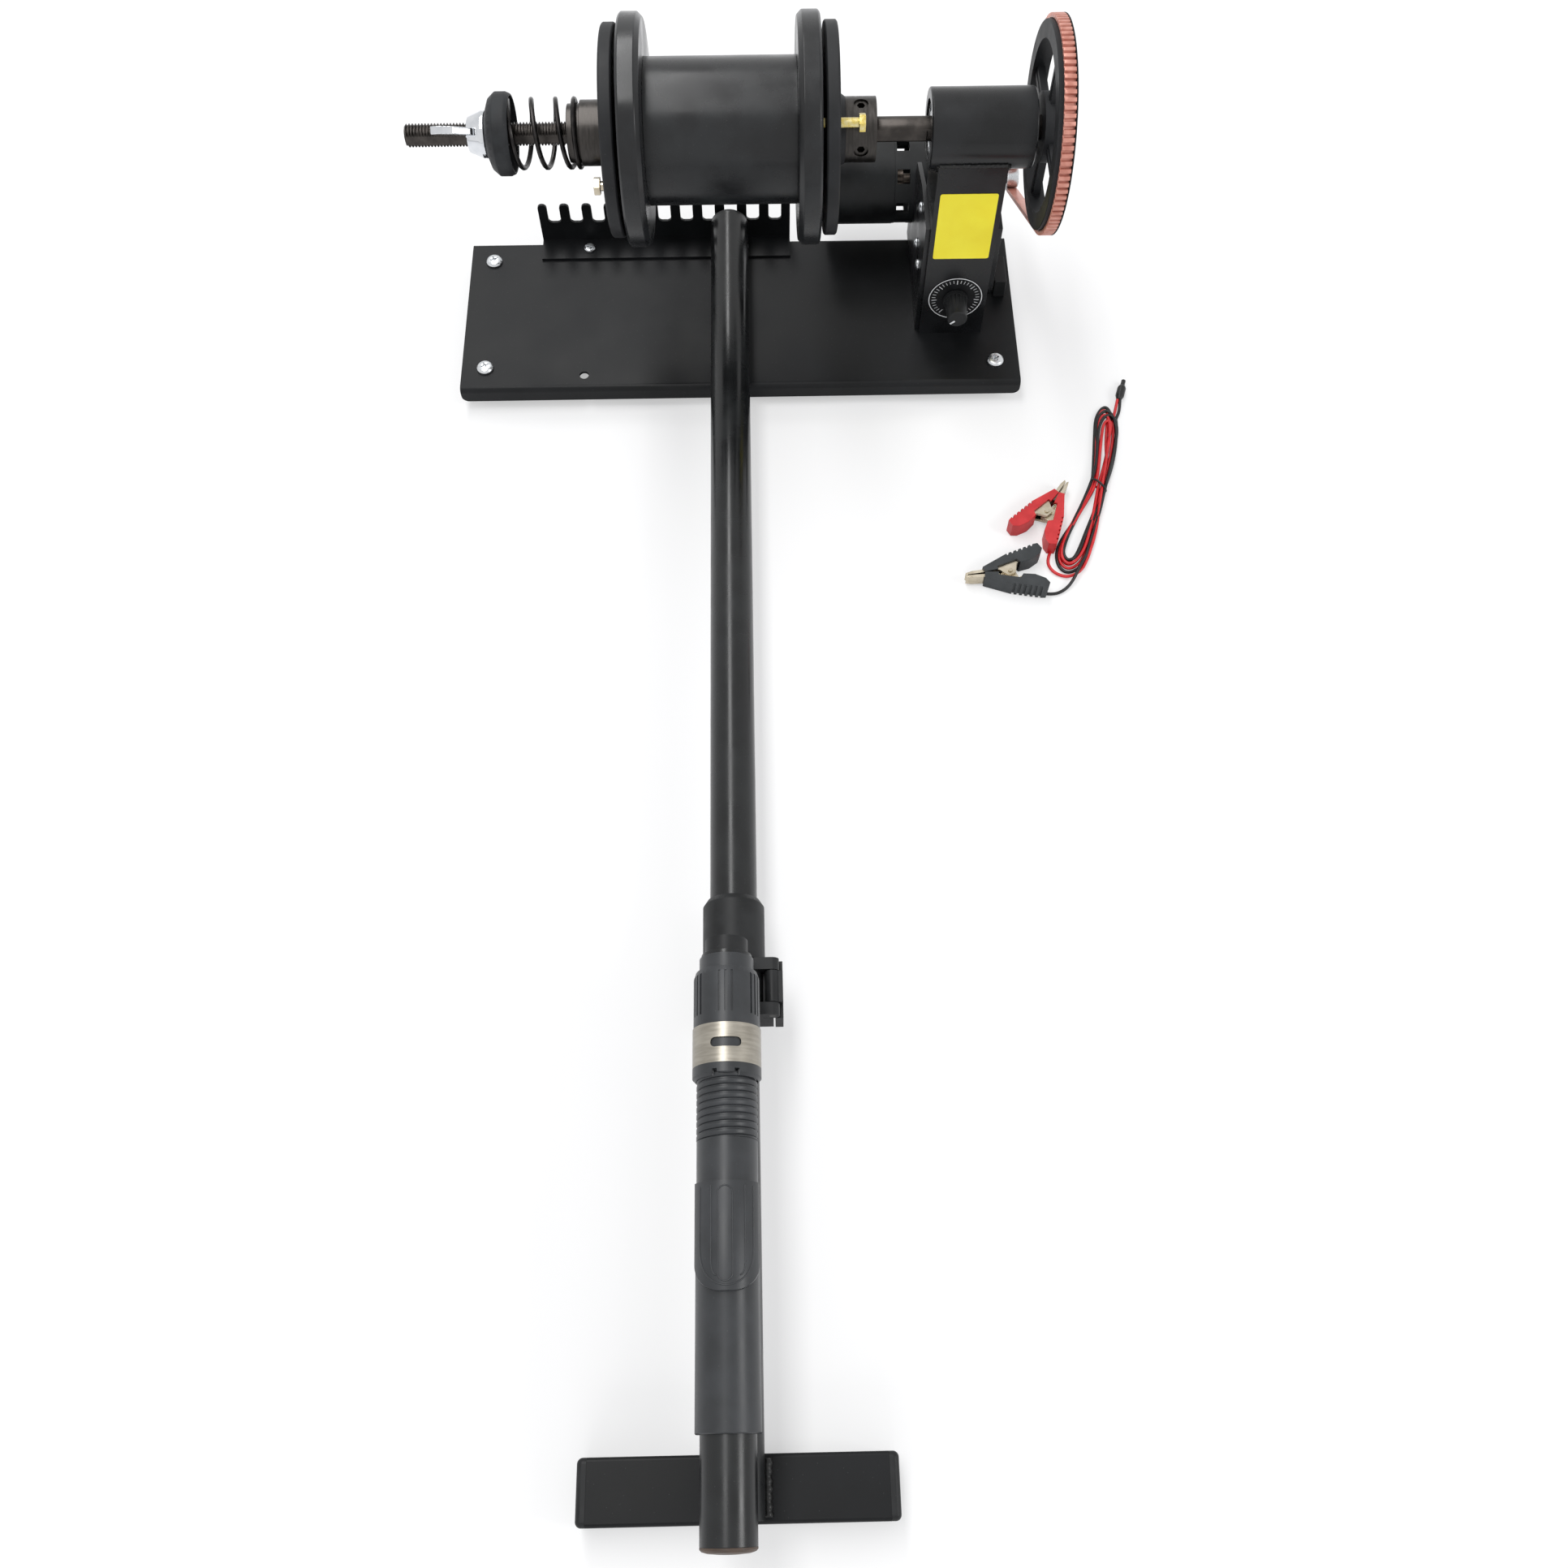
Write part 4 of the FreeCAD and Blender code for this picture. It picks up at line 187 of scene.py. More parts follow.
# finishes: what each surface is, how it was made and what that gives the eye
print("stage: finishes")
finishes = {
    # folded steel sheet under black powder coat: satin, with a fine orange peel about 1 mm across
    "satinPowderCoat": {"colour": "#0f1011", "other": "#18191b", "rough": (0.36, 0.48), "grain": 1.1,
                        "depth": 0.03, "patch": 55, "dust": 0.35, "gloss": 0.18},
    # drawn steel tube sprayed gloss black: clear highlights, faint handling haze
    "glossBlackEnamel": {"colour": "#0e0f10", "other": "#191b1c", "rough": (0.18, 0.34), "grain": 2.6,
                         "depth": 0.015, "patch": 30, "dust": 0.3, "gloss": 0.38},
    # square post and housing: thicker brushed-on gloss black with small runs
    "thickBlackEnamel": {"colour": "#0f1011", "other": "#1a1b1d", "rough": (0.2, 0.34), "grain": 6,
                         "depth": 0.03, "patch": 30, "dust": 0.3, "gloss": 0.32},
    # turned collars, black oxide over steel: dark bronze, tool marks round the axis
    "blackOxideSteel": {"colour": "#3a3836", "other": "#484543", "rough": (0.28, 0.42), "grain": 0.7,
                        "depth": 0.012, "patch": 9, "metal": 1, "stretch": (6, 1, 1)},
    # rolled M14 rod, black oxide with some oil on it
    "oiledRod": {"colour": "#3a3735", "other": "#4c4845", "rough": (0.3, 0.45), "grain": 0.8,
                 "depth": 0.01, "patch": 7, "metal": 1},
    # bright zinc on small pressed screws
    "brightZinc": {"colour": "#c3c6c9", "other": "#d6d8da", "rough": (0.22, 0.36), "grain": 0.5,
                   "depth": 0.01, "patch": 3, "metal": 1},
    # yellow chromate zinc: brassy with a faint green and red drift
    "yellowZinc": {"colour": "#cdb866", "other": "#d9cfa0", "rough": (0.24, 0.36), "grain": 0.5,
                   "depth": 0.01, "patch": 2.5, "metal": 1},
    # dull nickel on stamped clips and the left screw
    "dullNickel": {"colour": "#b5aa95", "other": "#c6bdab", "rough": (0.22, 0.32), "grain": 2.2,
                   "depth": 0.006, "patch": 7, "metal": 1},
    # die-cast wing nut with polished chrome
    "polishedChrome": {"colour": "#c9ccd0", "other": "#d9dbde", "rough": (0.05, 0.1), "grain": 3,
                       "depth": 0.02, "patch": 8, "metal": 1},
    # ground bearing steel
    "bearingSteel": {"colour": "#b6b9bc", "other": "#c6c8ca", "rough": (0.14, 0.22), "grain": 1,
                     "depth": 0.005, "patch": 6, "metal": 1},
    # oil-hardened spring wire, nearly black
    "springWire": {"colour": "#2b2a2a", "other": "#3b3938", "rough": (0.26, 0.4), "grain": 0.8,
                   "depth": 0.01, "patch": 5, "metal": 1},
    # anodised aluminium ring, satin champagne, turned so the grain runs round it
    "satinRing": {"colour": "#8f8a80", "other": "#a19c92", "rough": (0.3, 0.4), "grain": 0.5,
                  "depth": 0.012, "patch": 14, "metal": 1, "stretch": (1, 8, 1)},
    # moulded ABS reel seat: charcoal, fine spark texture under 0.5 mm
    "seatAbs": {"colour": "#26282a", "other": "#313336", "rough": (0.32, 0.44), "grain": 0.6,
                "depth": 0.025, "patch": 22, "dust": 0.45, "gloss": 0.42},
    # injection moulded spool, gloss black with fine rub marks
    "spoolAbs": {"colour": "#0f1012", "other": "#1b1d1f", "rough": (0.2, 0.34), "grain": 1.6,
                 "depth": 0.008, "patch": 26, "dust": 0.35, "gloss": 0.38},
    # glass-filled nylon discs and wheel: matte black, slightly grainy
    "filledNylon": {"colour": "#17181a", "other": "#222325", "rough": (0.46, 0.6), "grain": 0.8,
                    "depth": 0.03, "patch": 16, "dust": 0.5, "gloss": 0.25},
    # moulded rubber cup and feet
    "blackRubber": {"colour": "#1d1e20", "other": "#2b2d2f", "rough": (0.5, 0.66), "grain": 0.9,
                    "depth": 0.03, "patch": 10, "dust": 0.6, "gloss": 0.25},
    # polyurethane belt, copper pink, with a soft sheen on its ribs
    "copperUrethane": {"colour": "#b9796a", "other": "#cf9586", "rough": (0.3, 0.42), "grain": 0.9,
                       "depth": 0.02, "patch": 6, "metal": 0.35},
    # motor can: black electro-coat on pressed steel
    "electroCoat": {"colour": "#131415", "other": "#1f2122", "rough": (0.34, 0.48), "grain": 1,
                    "depth": 0.015, "patch": 18, "dust": 0.3, "gloss": 0.25},
    # polyethylene plugs in the tube ends
    "brownPolythene": {"colour": "#463a32", "other": "#54463c", "rough": (0.42, 0.55), "grain": 1.2,
                       "depth": 0.02, "patch": 8, "gloss": 0.3},
    "blackPolythene": {"colour": "#18191a", "other": "#242526", "rough": (0.4, 0.55), "grain": 1.2,
                       "depth": 0.02, "patch": 12, "dust": 0.4, "gloss": 0.25},
    # lead: soft PVC insulation and dipped PVC sleeves
    "redPvc": {"colour": "#c0181f", "other": "#d22a2e", "rough": (0.3, 0.42), "grain": 1.4,
               "depth": 0.02, "patch": 8},
    "blackPvc": {"colour": "#141415", "other": "#202021", "rough": (0.3, 0.42), "grain": 1.4,
                 "depth": 0.02, "patch": 8, "gloss": 0.35},
    "greySleevePvc": {"colour": "#2d3032", "other": "#393c3e", "rough": (0.42, 0.55), "grain": 1.1,
                      "depth": 0.03, "patch": 10, "gloss": 0.3},
    "redSleevePvc": {"colour": "#b81a20", "other": "#cb2b2f", "rough": (0.36, 0.48), "grain": 1.1,
                     "depth": 0.03, "patch": 10},
    # green solder mask on the control's board
    "solderMask": {"colour": "#1e5a34", "other": "#256b3f", "rough": (0.3, 0.4), "grain": 0.8,
                   "depth": 0.01, "patch": 6},
    # bare copper and lamination steel of the rotor
    "rotorSteel": {"colour": "#6e655e", "other": "#857a70", "rough": (0.3, 0.42), "grain": 0.5,
                   "depth": 0.02, "patch": 4, "metal": 1, "stretch": (9, 1, 1)},
    # printed vinyl: flat yellow film, slightly glossy
    "yellowVinyl": {"colour": "#f4e72a", "other": "#f0df20", "rough": (0.3, 0.4), "grain": 3,
                    "depth": 0.02, "patch": 20},
    "whiteInk": {"colour": "#d8dadb", "other": "#c4c6c8", "rough": (0.5, 0.6), "grain": 0.6,
                 "depth": 0.005, "patch": 3},
    "dialFilm": {"colour": "#101112", "other": "#17181a", "rough": (0.4, 0.5), "grain": 0.9,
                 "depth": 0.01, "patch": 8, "gloss": 0.2},
    # weld metal under the same black paint
    "paintedWeld": {"colour": "#141414", "other": "#232323", "rough": (0.26, 0.4), "grain": 0.8,
                    "depth": 0.08, "patch": 4, "gloss": 0.32},
}


surface = {"patchEdges": (0.38, 0.68), "roughEdges": (0.3, 0.7), "bump": 0.6,
           "speckSpacing": 3.2, "speckEdges": (0.02, 0.07), "speckColour": "#6d6f70"}


def makeFinish(name, look):
    material, tree = emptyMaterial(name)
    place = addNode(tree, "ShaderNodeTexCoord")
    stretched = addNode(tree, "ShaderNodeMapping", {"Scale": look.get("stretch", (1, 1, 1))},
                        Vector=place.outputs["Object"])
    grain = addNode(tree, "ShaderNodeTexNoise", {"Scale": 1 / (look["grain"] * mm), "Detail": 4.0},
                    Vector=stretched.outputs[0])
    patch = addNode(tree, "ShaderNodeTexNoise", {"Scale": 1 / (look["patch"] * mm), "Detail": 5.0},
                    Vector=stretched.outputs[0])
    colour = addNode(tree, "ShaderNodeValToRGB", Fac=patch.outputs["Fac"])
    stops = zip(colour.color_ramp.elements, surface["patchEdges"], ("colour", "other"))
    for stop, position, shade in stops:
        stop.position = position
        stop.color = linear(look[shade])
    fromLow, fromHigh = surface["roughEdges"]
    rough = addNode(tree, "ShaderNodeMapRange", {
        "From Min": fromLow, "From Max": fromHigh, "To Min": look["rough"][0], "To Max": look["rough"][1]},
        Value=patch.outputs["Fac"])
    bump = addNode(tree, "ShaderNodeBump", {"Strength": surface["bump"], "Distance": look["depth"] * mm},
                   Height=grain.outputs["Fac"])
    shader = addNode(tree, "ShaderNodeBsdfPrincipled", {
        "Metallic": look.get("metal", 0), "Specular IOR Level": look.get("gloss", 0.5)},
        Roughness=rough.outputs[0], Normal=bump.outputs[0])
    shown = colour.outputs[0]
    if "dust" in look:  # pale specks of lint and dust, a few tenths of a millimetre across, sparse
        specks = addNode(tree, "ShaderNodeTexVoronoi", {
            "Scale": 1 / (surface["speckSpacing"] * mm), "Randomness": 1.0}, Vector=place.outputs["Object"])
        core, rim = surface["speckEdges"]
        close = addNode(tree, "ShaderNodeMapRange", {
            "From Min": core, "From Max": rim, "To Min": look["dust"], "To Max": 0.0},
            Value=specks.outputs["Distance"])
        dusty = addNode(tree, "ShaderNodeMix", {"data_type": "RGBA"}, Factor=close.outputs[0])
        clean, speck = [socket for socket in dusty.inputs if socket.type == "RGBA"]
        tree.links.new(shown, clean)
        speck.default_value = linear(surface["speckColour"])
        shown = [socket for socket in dusty.outputs if socket.type == "RGBA"][0]
    tree.links.new(shown, shader.inputs["Base Color"])
    addNode(tree, "ShaderNodeOutputMaterial", Surface=shader.outputs[0])
    return material


finish = {name: makeFinish(name, look) for name, look in finishes.items()}


# helpers for pieces
sameSpot = 2e-6  # metres; corners of a mesh this close together are one
seamSpot = 1e-6  # the same, where a turned piece closes
flatAngle = 0.6  # degrees; faces that differ by less are one face


def onlySelect(piece):
    bpy.ops.object.select_all(action="DESELECT")
    piece.select_set(True)
    bpy.context.view_layer.objects.active = piece


def inEditMode(piece, *steps):  # each step is an operator and its settings, for the whole mesh
    onlySelect(piece)
    bpy.ops.object.mode_set(mode="EDIT")
    bpy.ops.mesh.select_all(action="SELECT")
    for operator, settings in steps:
        operator(**settings)
    bpy.ops.object.mode_set(mode="OBJECT")


def outwards(piece):
    inEditMode(piece, (bpy.ops.mesh.normals_make_consistent, {"inside": False}))


def cutPlane(piece, place, normal, away=True):  # without away, the plane only adds edges
    inEditMode(piece, (bpy.ops.mesh.bisect, {"plane_co": place, "plane_no": normal, "use_fill": away,
                                             "clear_outer": away}))


def cutOut(piece, tool, manyTools=False):  # takes the tool's volume out of the piece
    onlySelect(piece)
    cut = piece.modifiers.new("cut", "BOOLEAN")
    cut.operation = "DIFFERENCE"
    cut.solver = "EXACT"
    cut.use_self = manyTools
    cut.object = tool
    bpy.ops.object.modifier_apply(modifier="cut")
    bpy.data.objects.remove(tool)


def breakEdges(piece, width, segments, angle=34):
    bevel = piece.modifiers.new("edges", "BEVEL")
    bevel.width = width * mm
    bevel.segments = segments
    bevel.limit_method = "ANGLE"
    bevel.angle_limit = math.radians(angle)


def applyModifiers(piece):
    onlySelect(piece)
    for modifier in list(piece.modifiers):
        bpy.ops.object.modifier_apply(modifier=modifier.name)


def asMesh(piece):
    onlySelect(piece)
    bpy.ops.object.convert(target="MESH")
    return bpy.context.object


def join(pieces, name):
    onlySelect(pieces[0])
    for piece in pieces[1:]:
        piece.select_set(True)
    bpy.ops.object.join()
    pieces[0].name = name
    return pieces[0]


def linked(name, data):
    piece = bpy.data.objects.new(name, data)
    bpy.context.scene.collection.objects.link(piece)
    return piece


def meshPiece(name, points, edges=(), faces=()):
    mesh = bpy.data.meshes.new(name)
    mesh.from_pydata([tuple(p) for p in points], list(edges), list(faces))
    return linked(name, mesh)


def block(name, long, deep, high):  # along x, y and z, round the origin
    bpy.ops.object.select_all(action="DESELECT")
    bpy.ops.mesh.primitive_cube_add(size=1)
    piece = bpy.context.object
    piece.name = name
    piece.data.transform(Matrix.Diagonal((long * mm, deep * mm, high * mm, 1)))
    return piece


def roundLine(name, places, radius, roundness=3, kind="POLY", cyclic=False, capped=True):
    data = bpy.data.curves.new(name, "CURVE")
    data.dimensions = "3D"
    data.bevel_depth = radius * mm
    data.bevel_resolution = roundness
    data.use_fill_caps = capped
    spline = data.splines.new(kind)
    spline.points.add(len(places) - 1)
    for point, place in zip(spline.points, places):
        point.co = (*place, 1)
    spline.use_cyclic_u = cyclic
    if kind == "NURBS":
        spline.order_u = 3
        spline.use_endpoint_u = not cyclic
    return linked(name, data)


def turnedPiece(name, profile, centre, steps=72, closed=False):
    # turned about an axis along Y; the profile lists (distance along the axis, radius)
    edges = [(i, i + 1) for i in range(len(profile) - 1)]
    if closed:
        edges.append((len(profile) - 1, 0))
    piece = meshPiece(name, [(d * mm, 0, r * mm) for d, r in profile], edges)
    inEditMode(piece, (bpy.ops.mesh.spin, {"steps": steps, "angle": 2 * math.pi, "center": (0, 0, 0),
                                           "axis": (1, 0, 0)}))
    inEditMode(piece, (bpy.ops.mesh.remove_doubles, {"threshold": seamSpot}),
               (bpy.ops.mesh.normals_make_consistent, {"inside": False}))
    piece.data.transform(Matrix.Translation(centre) @ Matrix.Rotation(math.pi / 2, 4, "Z"))
    return piece


def screwedPiece(name, profile, pitch, turns, steps, start):
    # one pitch of the profile, wound about X; start is the left end
    piece = meshPiece(name, [((start + d) * mm, 0, r * mm) for d, r in profile],
                      [(i, i + 1) for i in range(len(profile) - 1)])
    screw = piece.modifiers.new("thread", "SCREW")
    screw.axis = "X"
    screw.angle = 2 * math.pi
    screw.screw_offset = pitch * mm
    screw.iterations = turns
    screw.steps = steps
    screw.render_steps = steps
    screw.use_smooth_shade = True
    applyModifiers(piece)
    inEditMode(piece, (bpy.ops.mesh.remove_doubles, {"threshold": sameSpot}))
    return piece


def mergedCopy(nodeName, name, wholeFaces=True):  # the node's mesh as one skin
    piece = linked(name, nodes[nodeName].data.copy())
    steps = [(bpy.ops.mesh.customdata_custom_splitnormals_clear, {}),
             (bpy.ops.mesh.remove_doubles, {"threshold": sameSpot})]
    if wholeFaces:
        steps.append((bpy.ops.mesh.dissolve_limited, {"angle_limit": math.radians(flatAngle)}))
    inEditMode(piece, *steps)
    return piece


def softened(nodeName, name, width, segments=2):
    piece = mergedCopy(nodeName, name)
    breakEdges(piece, width, segments)
    return piece


def finished(piece, body, finishName, replaced=(), smooth=35, flatFaces=False):
    if piece.type != "MESH":
        piece = asMesh(piece)
    applyModifiers(piece)
    bpy.ops.object.transform_apply(location=True, rotation=True, scale=True)
    bpy.ops.object.shade_smooth_by_angle(angle=math.radians(smooth))
    if flatFaces:  # large faces keep their own normal, so that a broken edge doesn't shade them
        level = piece.modifiers.new("faceNormals", "WEIGHTED_NORMAL")
        level.keep_sharp = True
        level.weight = 60
        bpy.ops.object.modifier_apply(modifier="faceNormals")
    piece.data.materials.clear()
    piece.data.materials.append(finish[finishName])
    if body:
        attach(piece, body)
    if replaced:
        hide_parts(*replaced)
    return piece


# lead: two wires from the plug through the hank to the clips
print("stage: lead")
lead = {
    "wire": 2.2, "floorGap": 1.2,
    # stations round one turn of the hank: innermost and outermost lane, x and y
    "right": [((263, -96), (269.8, -98)), ((259.5, -113), (267.2, -113)), ((254.8, -132), (261, -134)),
              ((249.4, -149.4), (253.6, -152.6)), ((243, -170), (248.5, -173)),
              ((236.5, -188), (243, -190)), ((231.2, -201), (237.4, -205))],
    "bottom": [((226.6, -209), (230, -217)), ((221.6, -211.6), (220.6, -222)),
               ((219.2, -207), (214.6, -216))],
    "left": [((220, -201), (214.2, -205)), ((224, -191), (219, -194)), ((232, -177), (227, -180)),
             ((240.4, -161.8), (236.8, -164)), ((248.4, -149), (244.8, -146.6)),
             ((252, -132), (248.9, -130.5)), ((255, -112), (251.8, -110.5))],
    "top": [((257.6, -96), (254.2, -94)), ((259.6, -90), (258.4, -84.6)), ((262, -88.6), (264.6, -80.2)),
            ((263.4, -91), (269, -85.6))],
    # for each turn, and then for the last run: lane across (0 inside, 1 outside) and layer up, above the
    # tie, at the tie and below it
    "red": [((0.67, 0), (0.5, 1), (0.67, 0)), ((0, 0), (1, 0), (0.33, 0)), ((0.33, 1), (0, 1), (0.4, 1)),
            ((0, 1), (0.5, 2), (1, 1))],
    "black": [((1, 0), (0.5, 0), (0, 0)), ((0.33, 0), (0, 0), (1, 0)), ((1, 1), (1, 1), (0.08, 1)),
              ((0.67, 1), (1, 2), (0.72, 1))],
    "topShift": [(0, 5), (-1.5, 0), (1, -5), (0, 0)],  # how far each turn's top lies off the others
    "looseness": {"right": 0.3, "bottom": 0.2, "left": 0.3, "top": 0.3}, "heldLooseness": 0.05,
    "tieStop": 3, "fade": 2, "shiftFade": 2,  # counted in stations from the top of a side
}


def laneStop(station, lane, layer, wander):
    inner, outer = station
    x = inner[0] + (outer[0] - inner[0]) * lane + wander[0]
    y = inner[1] + (outer[1] - inner[1]) * lane + wander[1]
    return (x, y, lead["floorGap"] + lead["wire"] * layer)


def between(one, other, share):
    return [a + (b - a) * share for a, b in zip(one, other)]


def hankRoute(lanes, start, tail, seed):
    chance = random.Random(seed)
    stops = list(start)
    tieStop, fade = lead["tieStop"], lead["fade"]
    for turn, (above, atTie, below) in enumerate(lanes):
        sides = ["right"] if turn == len(lanes) - 1 else ["right", "bottom", "left", "top"]
        for side in sides:
            stations = lead[side]
            for i, station in enumerate(stations):
                part = i if side == "right" else len(stations) - 1 - i  # 0 at the top of a side
                if side == "bottom":
                    lane, layer = below
                elif side == "top":  # slides over to the next turn's lane
                    lane, layer = between(above, lanes[turn + 1][0], (i + 1) / (len(stations) + 1))
                elif part <= tieStop:
                    lane, layer = between(above, atTie, max(0, part - tieStop + fade) / fade)
                else:
                    lane, layer = between(atTie, below, min(1, (part - tieStop) / fade))
                held = side in ("right", "left") and abs(part - tieStop) <= 1
                spread = lead["heldLooseness"] if held else lead["looseness"][side]
                drift = [chance.uniform(-spread, spread), chance.uniform(-spread, spread)]
                lift = {"top": 1, "bottom": 0}.get(side, max(0, 1 - part / lead["shiftFade"]))
                # a right side hangs from the top of the turn before it
                shift = lead["topShift"][turn - 1 if side == "right" and turn else turn]
                drift = [drift[0] + shift[0] * lift, drift[1] + shift[1] * lift]
                stops.append(laneStop(station, lane, layer, drift))
    return [at(*p) for p in stops + list(tail)]


def leadWire(name, route, finishName):
    piece = roundLine(name, route, lead["wire"] / 2, roundness=4, kind="NURBS", capped=False)
    piece.data.resolution_u = 6
    piece.data.materials.append(finish[finishName])
    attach(piece, "base")
    return piece


redRoute = hankRoute(
    lead["red"], [(272, -73.8, 3.1), (270.8, -78, 2.9), (269.4, -83, 2.6), (267.4, -89, 2.8)],
    [(235.4, -210, 3.4), (230, -220.4, 2.6), (221, -224.8, 1.4), (213, -222, 1.2),
     (208.5, -216.4, 1.2), (207.8, -209.6, 1.2), (210.5, -203.8, 1.2)], seed=3)
blackRoute = hankRoute(
    lead["black"], [(273.8, -74.3, 3.1), (273.2, -79, 2.4), (272, -84.5, 1.5), (269, -90.5, 1.2)],
    [(234, -209, 4.6), (229, -217, 5.4), (225.6, -224.4, 4.6), (221.4, -230.8, 2.2),
     (216.2, -235.4, 1.2), (209.6, -238.2, 1.2), (203.3, -237.4, 1.2)], seed=8)
redWire = leadWire("redLeadWire", redRoute, "redPvc")
blackWire = leadWire("blackLeadWire", blackRoute, "blackPvc")
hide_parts("lead_hank", "red_wire_tail")
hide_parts("black_wire_tail")


def curveLength(piece):
    bare = piece.data.copy()
    bare.bevel_depth = 0
    holder = bpy.data.objects.new("measure", bare)
    mesh = bpy.data.meshes.new_from_object(holder)
    places = mesh.vertices
    total = sum((places[a].co - places[b].co).length for a, b in [edge.vertices for edge in mesh.edges])
    bpy.data.objects.remove(holder)
    return total


for piece, route, ends in ((redWire, redRoute, ["dc_plug", "red_clip_lower_grip"]),
                           (blackWire, blackRoute, ["black_clip_lower_grip"])):
    length = curveLength(piece)
    print(piece.name, "length", round(length, 3))


# solids that keep their shape: sharp edges broken so that they catch the light
print("stage: edges of the carried-over solids")
softEdges = {  # node: finish, width of the broken edge in millimetres, segments
    "base_plate": ("satinPowderCoat", 0.5, 2), "line_comb": ("satinPowderCoat", 0.35, 2),
    "comb_screws": ("brightZinc", 0.25, 2), "arm_tube": ("glossBlackEnamel", 0.3, 2),
    "tube_saddles": ("glossBlackEnamel", 0.5, 2), "base_bolts": ("brightZinc", 0.3, 2),
    "foot_bar": ("satinPowderCoat", 0.3, 2), "foot_bar_caps": ("blackPolythene", 0.4, 2),
    "seat_tube": ("glossBlackEnamel", 0.3, 2), "sliding_hood": ("seatAbs", 0.12, 1),
    "hood_ring": ("satinRing", 0.25, 2), "lock_nut": ("seatAbs", 0.25, 2),
    "seat_clamp": ("blackPolythene", 0.6, 2), "clamp_lever": ("blackPolythene", 0.7, 3),
    "post": ("thickBlackEnamel", 1.0, 3), "bearing_housing": ("thickBlackEnamel", 0.3, 2),
    "bearing_outer_races": ("bearingSteel", 0.2, 2), "drive_wheel": ("filledNylon", 0.4, 2),
    "motor_end_bell": ("electroCoat", 0.35, 2), "motor_can": ("electroCoat", 0.4, 2),
    "motor_cheeks": ("thickBlackEnamel", 0.4, 2), "motor_pulley": ("brightZinc", 0.15, 2),
    "speed_knob": ("blackPolythene", 0.25, 2), "power_inlet": ("blackPolythene", 0.7, 3),
    "clamp_disc_right": ("filledNylon", 0.35, 2), "clamp_disc_left": ("filledNylon", 0.35, 2),
    "collar_right": ("blackOxideSteel", 0.35, 2), "collar_left": ("blackOxideSteel", 0.35, 2),
    "drive_bolt_right": ("yellowZinc", 0.3, 2), "drive_bolt_left": ("dullNickel", 0.3, 2),
    "spool_barrel": ("spoolAbs", 0.3, 2), "spool_flanges": ("spoolAbs", 0.6, 3),
    "spring_cup": ("blackRubber", 0.5, 3), "dc_plug": ("blackPvc", 0.3, 2),
    "clip_lower_levers": ("dullNickel", 0.25, 2), "red_clip_upper_lever": ("dullNickel", 0.25, 2),
    "black_clip_upper_lever": ("dullNickel", 0.25, 2), "red_clip_lower_grip": ("redSleevePvc", 0.28, 2),
    "red_clip_upper_grip": ("redSleevePvc", 0.28, 2), "black_clip_lower_grip": ("greySleevePvc", 0.28, 2),
    "black_clip_upper_grip": ("greySleevePvc", 0.28, 2),
}
keptFinishes = {
    "rubber_feet": "blackRubber", "arm_end_cap": "blackPolythene", "seat_end_plug": "brownPolythene",
    "clamp_lever_pin": "blackOxideSteel", "bearing_balls": "bearingSteel",
    "bearing_inner_races": "bearingSteel", "spindle_screws": "blackOxideSteel",
    "motor_rotor": "rotorSteel", "speed_control": "solderMask", "clip_pins": "dullNickel",
}
for nodeName, (finishName, width, segments) in softEdges.items():
    finished(softened(nodeName, "soft_" + nodeName, width, segments), nodes[nodeName]["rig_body"], finishName,
             (nodeName,), flatFaces=True)
for nodeName, finishName in keptFinishes.items():
    nodes[nodeName].data.materials.clear()
    nodes[nodeName].data.materials.append(finish[finishName])


# threaded rod: a rolled thread with one side milled flat, plain to the right of the spool
print("stage: rod")
rod = {"left": -207.3, "threadEnd": -99, "crest": 6.95, "root": 5.85, "pitch": 2, "flat": 5.2,
       "chamfer": 1, "steps": 48, "bareEdge": 0.2, "bareStart": 89.3, "bareEnd": 122, "bareFlat": 6.2,
       "bareRunOut": 0.5, "bareBeyond": 0.1, "overlap": 1,
       "profile": [(0, "root"), (0.2, "root"), (0.85, "crest"), (1.15, "crest"), (1.8, "root"), (2, "root")]}
threadTurns = int((rod["threadEnd"] - rod["left"]) / rod["pitch"]) + 3
thread = screwedPiece("rodThread", [(d, rod[height]) for d, height in rod["profile"]], rod["pitch"],
                      threadTurns, rod["steps"], rod["left"] - 2 * rod["pitch"])
cutPlane(thread, (rod["left"] * mm, 0, 0), (-1, 0, 0))
cutPlane(thread, (rod["threadEnd"] * mm, 0, 0), (1, 0, 0))
for vertex in thread.data.vertices:
    co = vertex.co
    radius = math.hypot(co.y, co.z)
    most = (rod["crest"] - max(0, rod["chamfer"] - (co.x / mm - rod["left"]))) * mm
    if radius > most:
        co.y, co.z = co.y * most / radius, co.z * most / radius
    co.y = max(co.y, -rod["flat"] * mm)  # the milled flat faces the front
thread.data.transform(Matrix.Translation(at(0, spindle["y"], spindle["z"])))
outwards(thread)

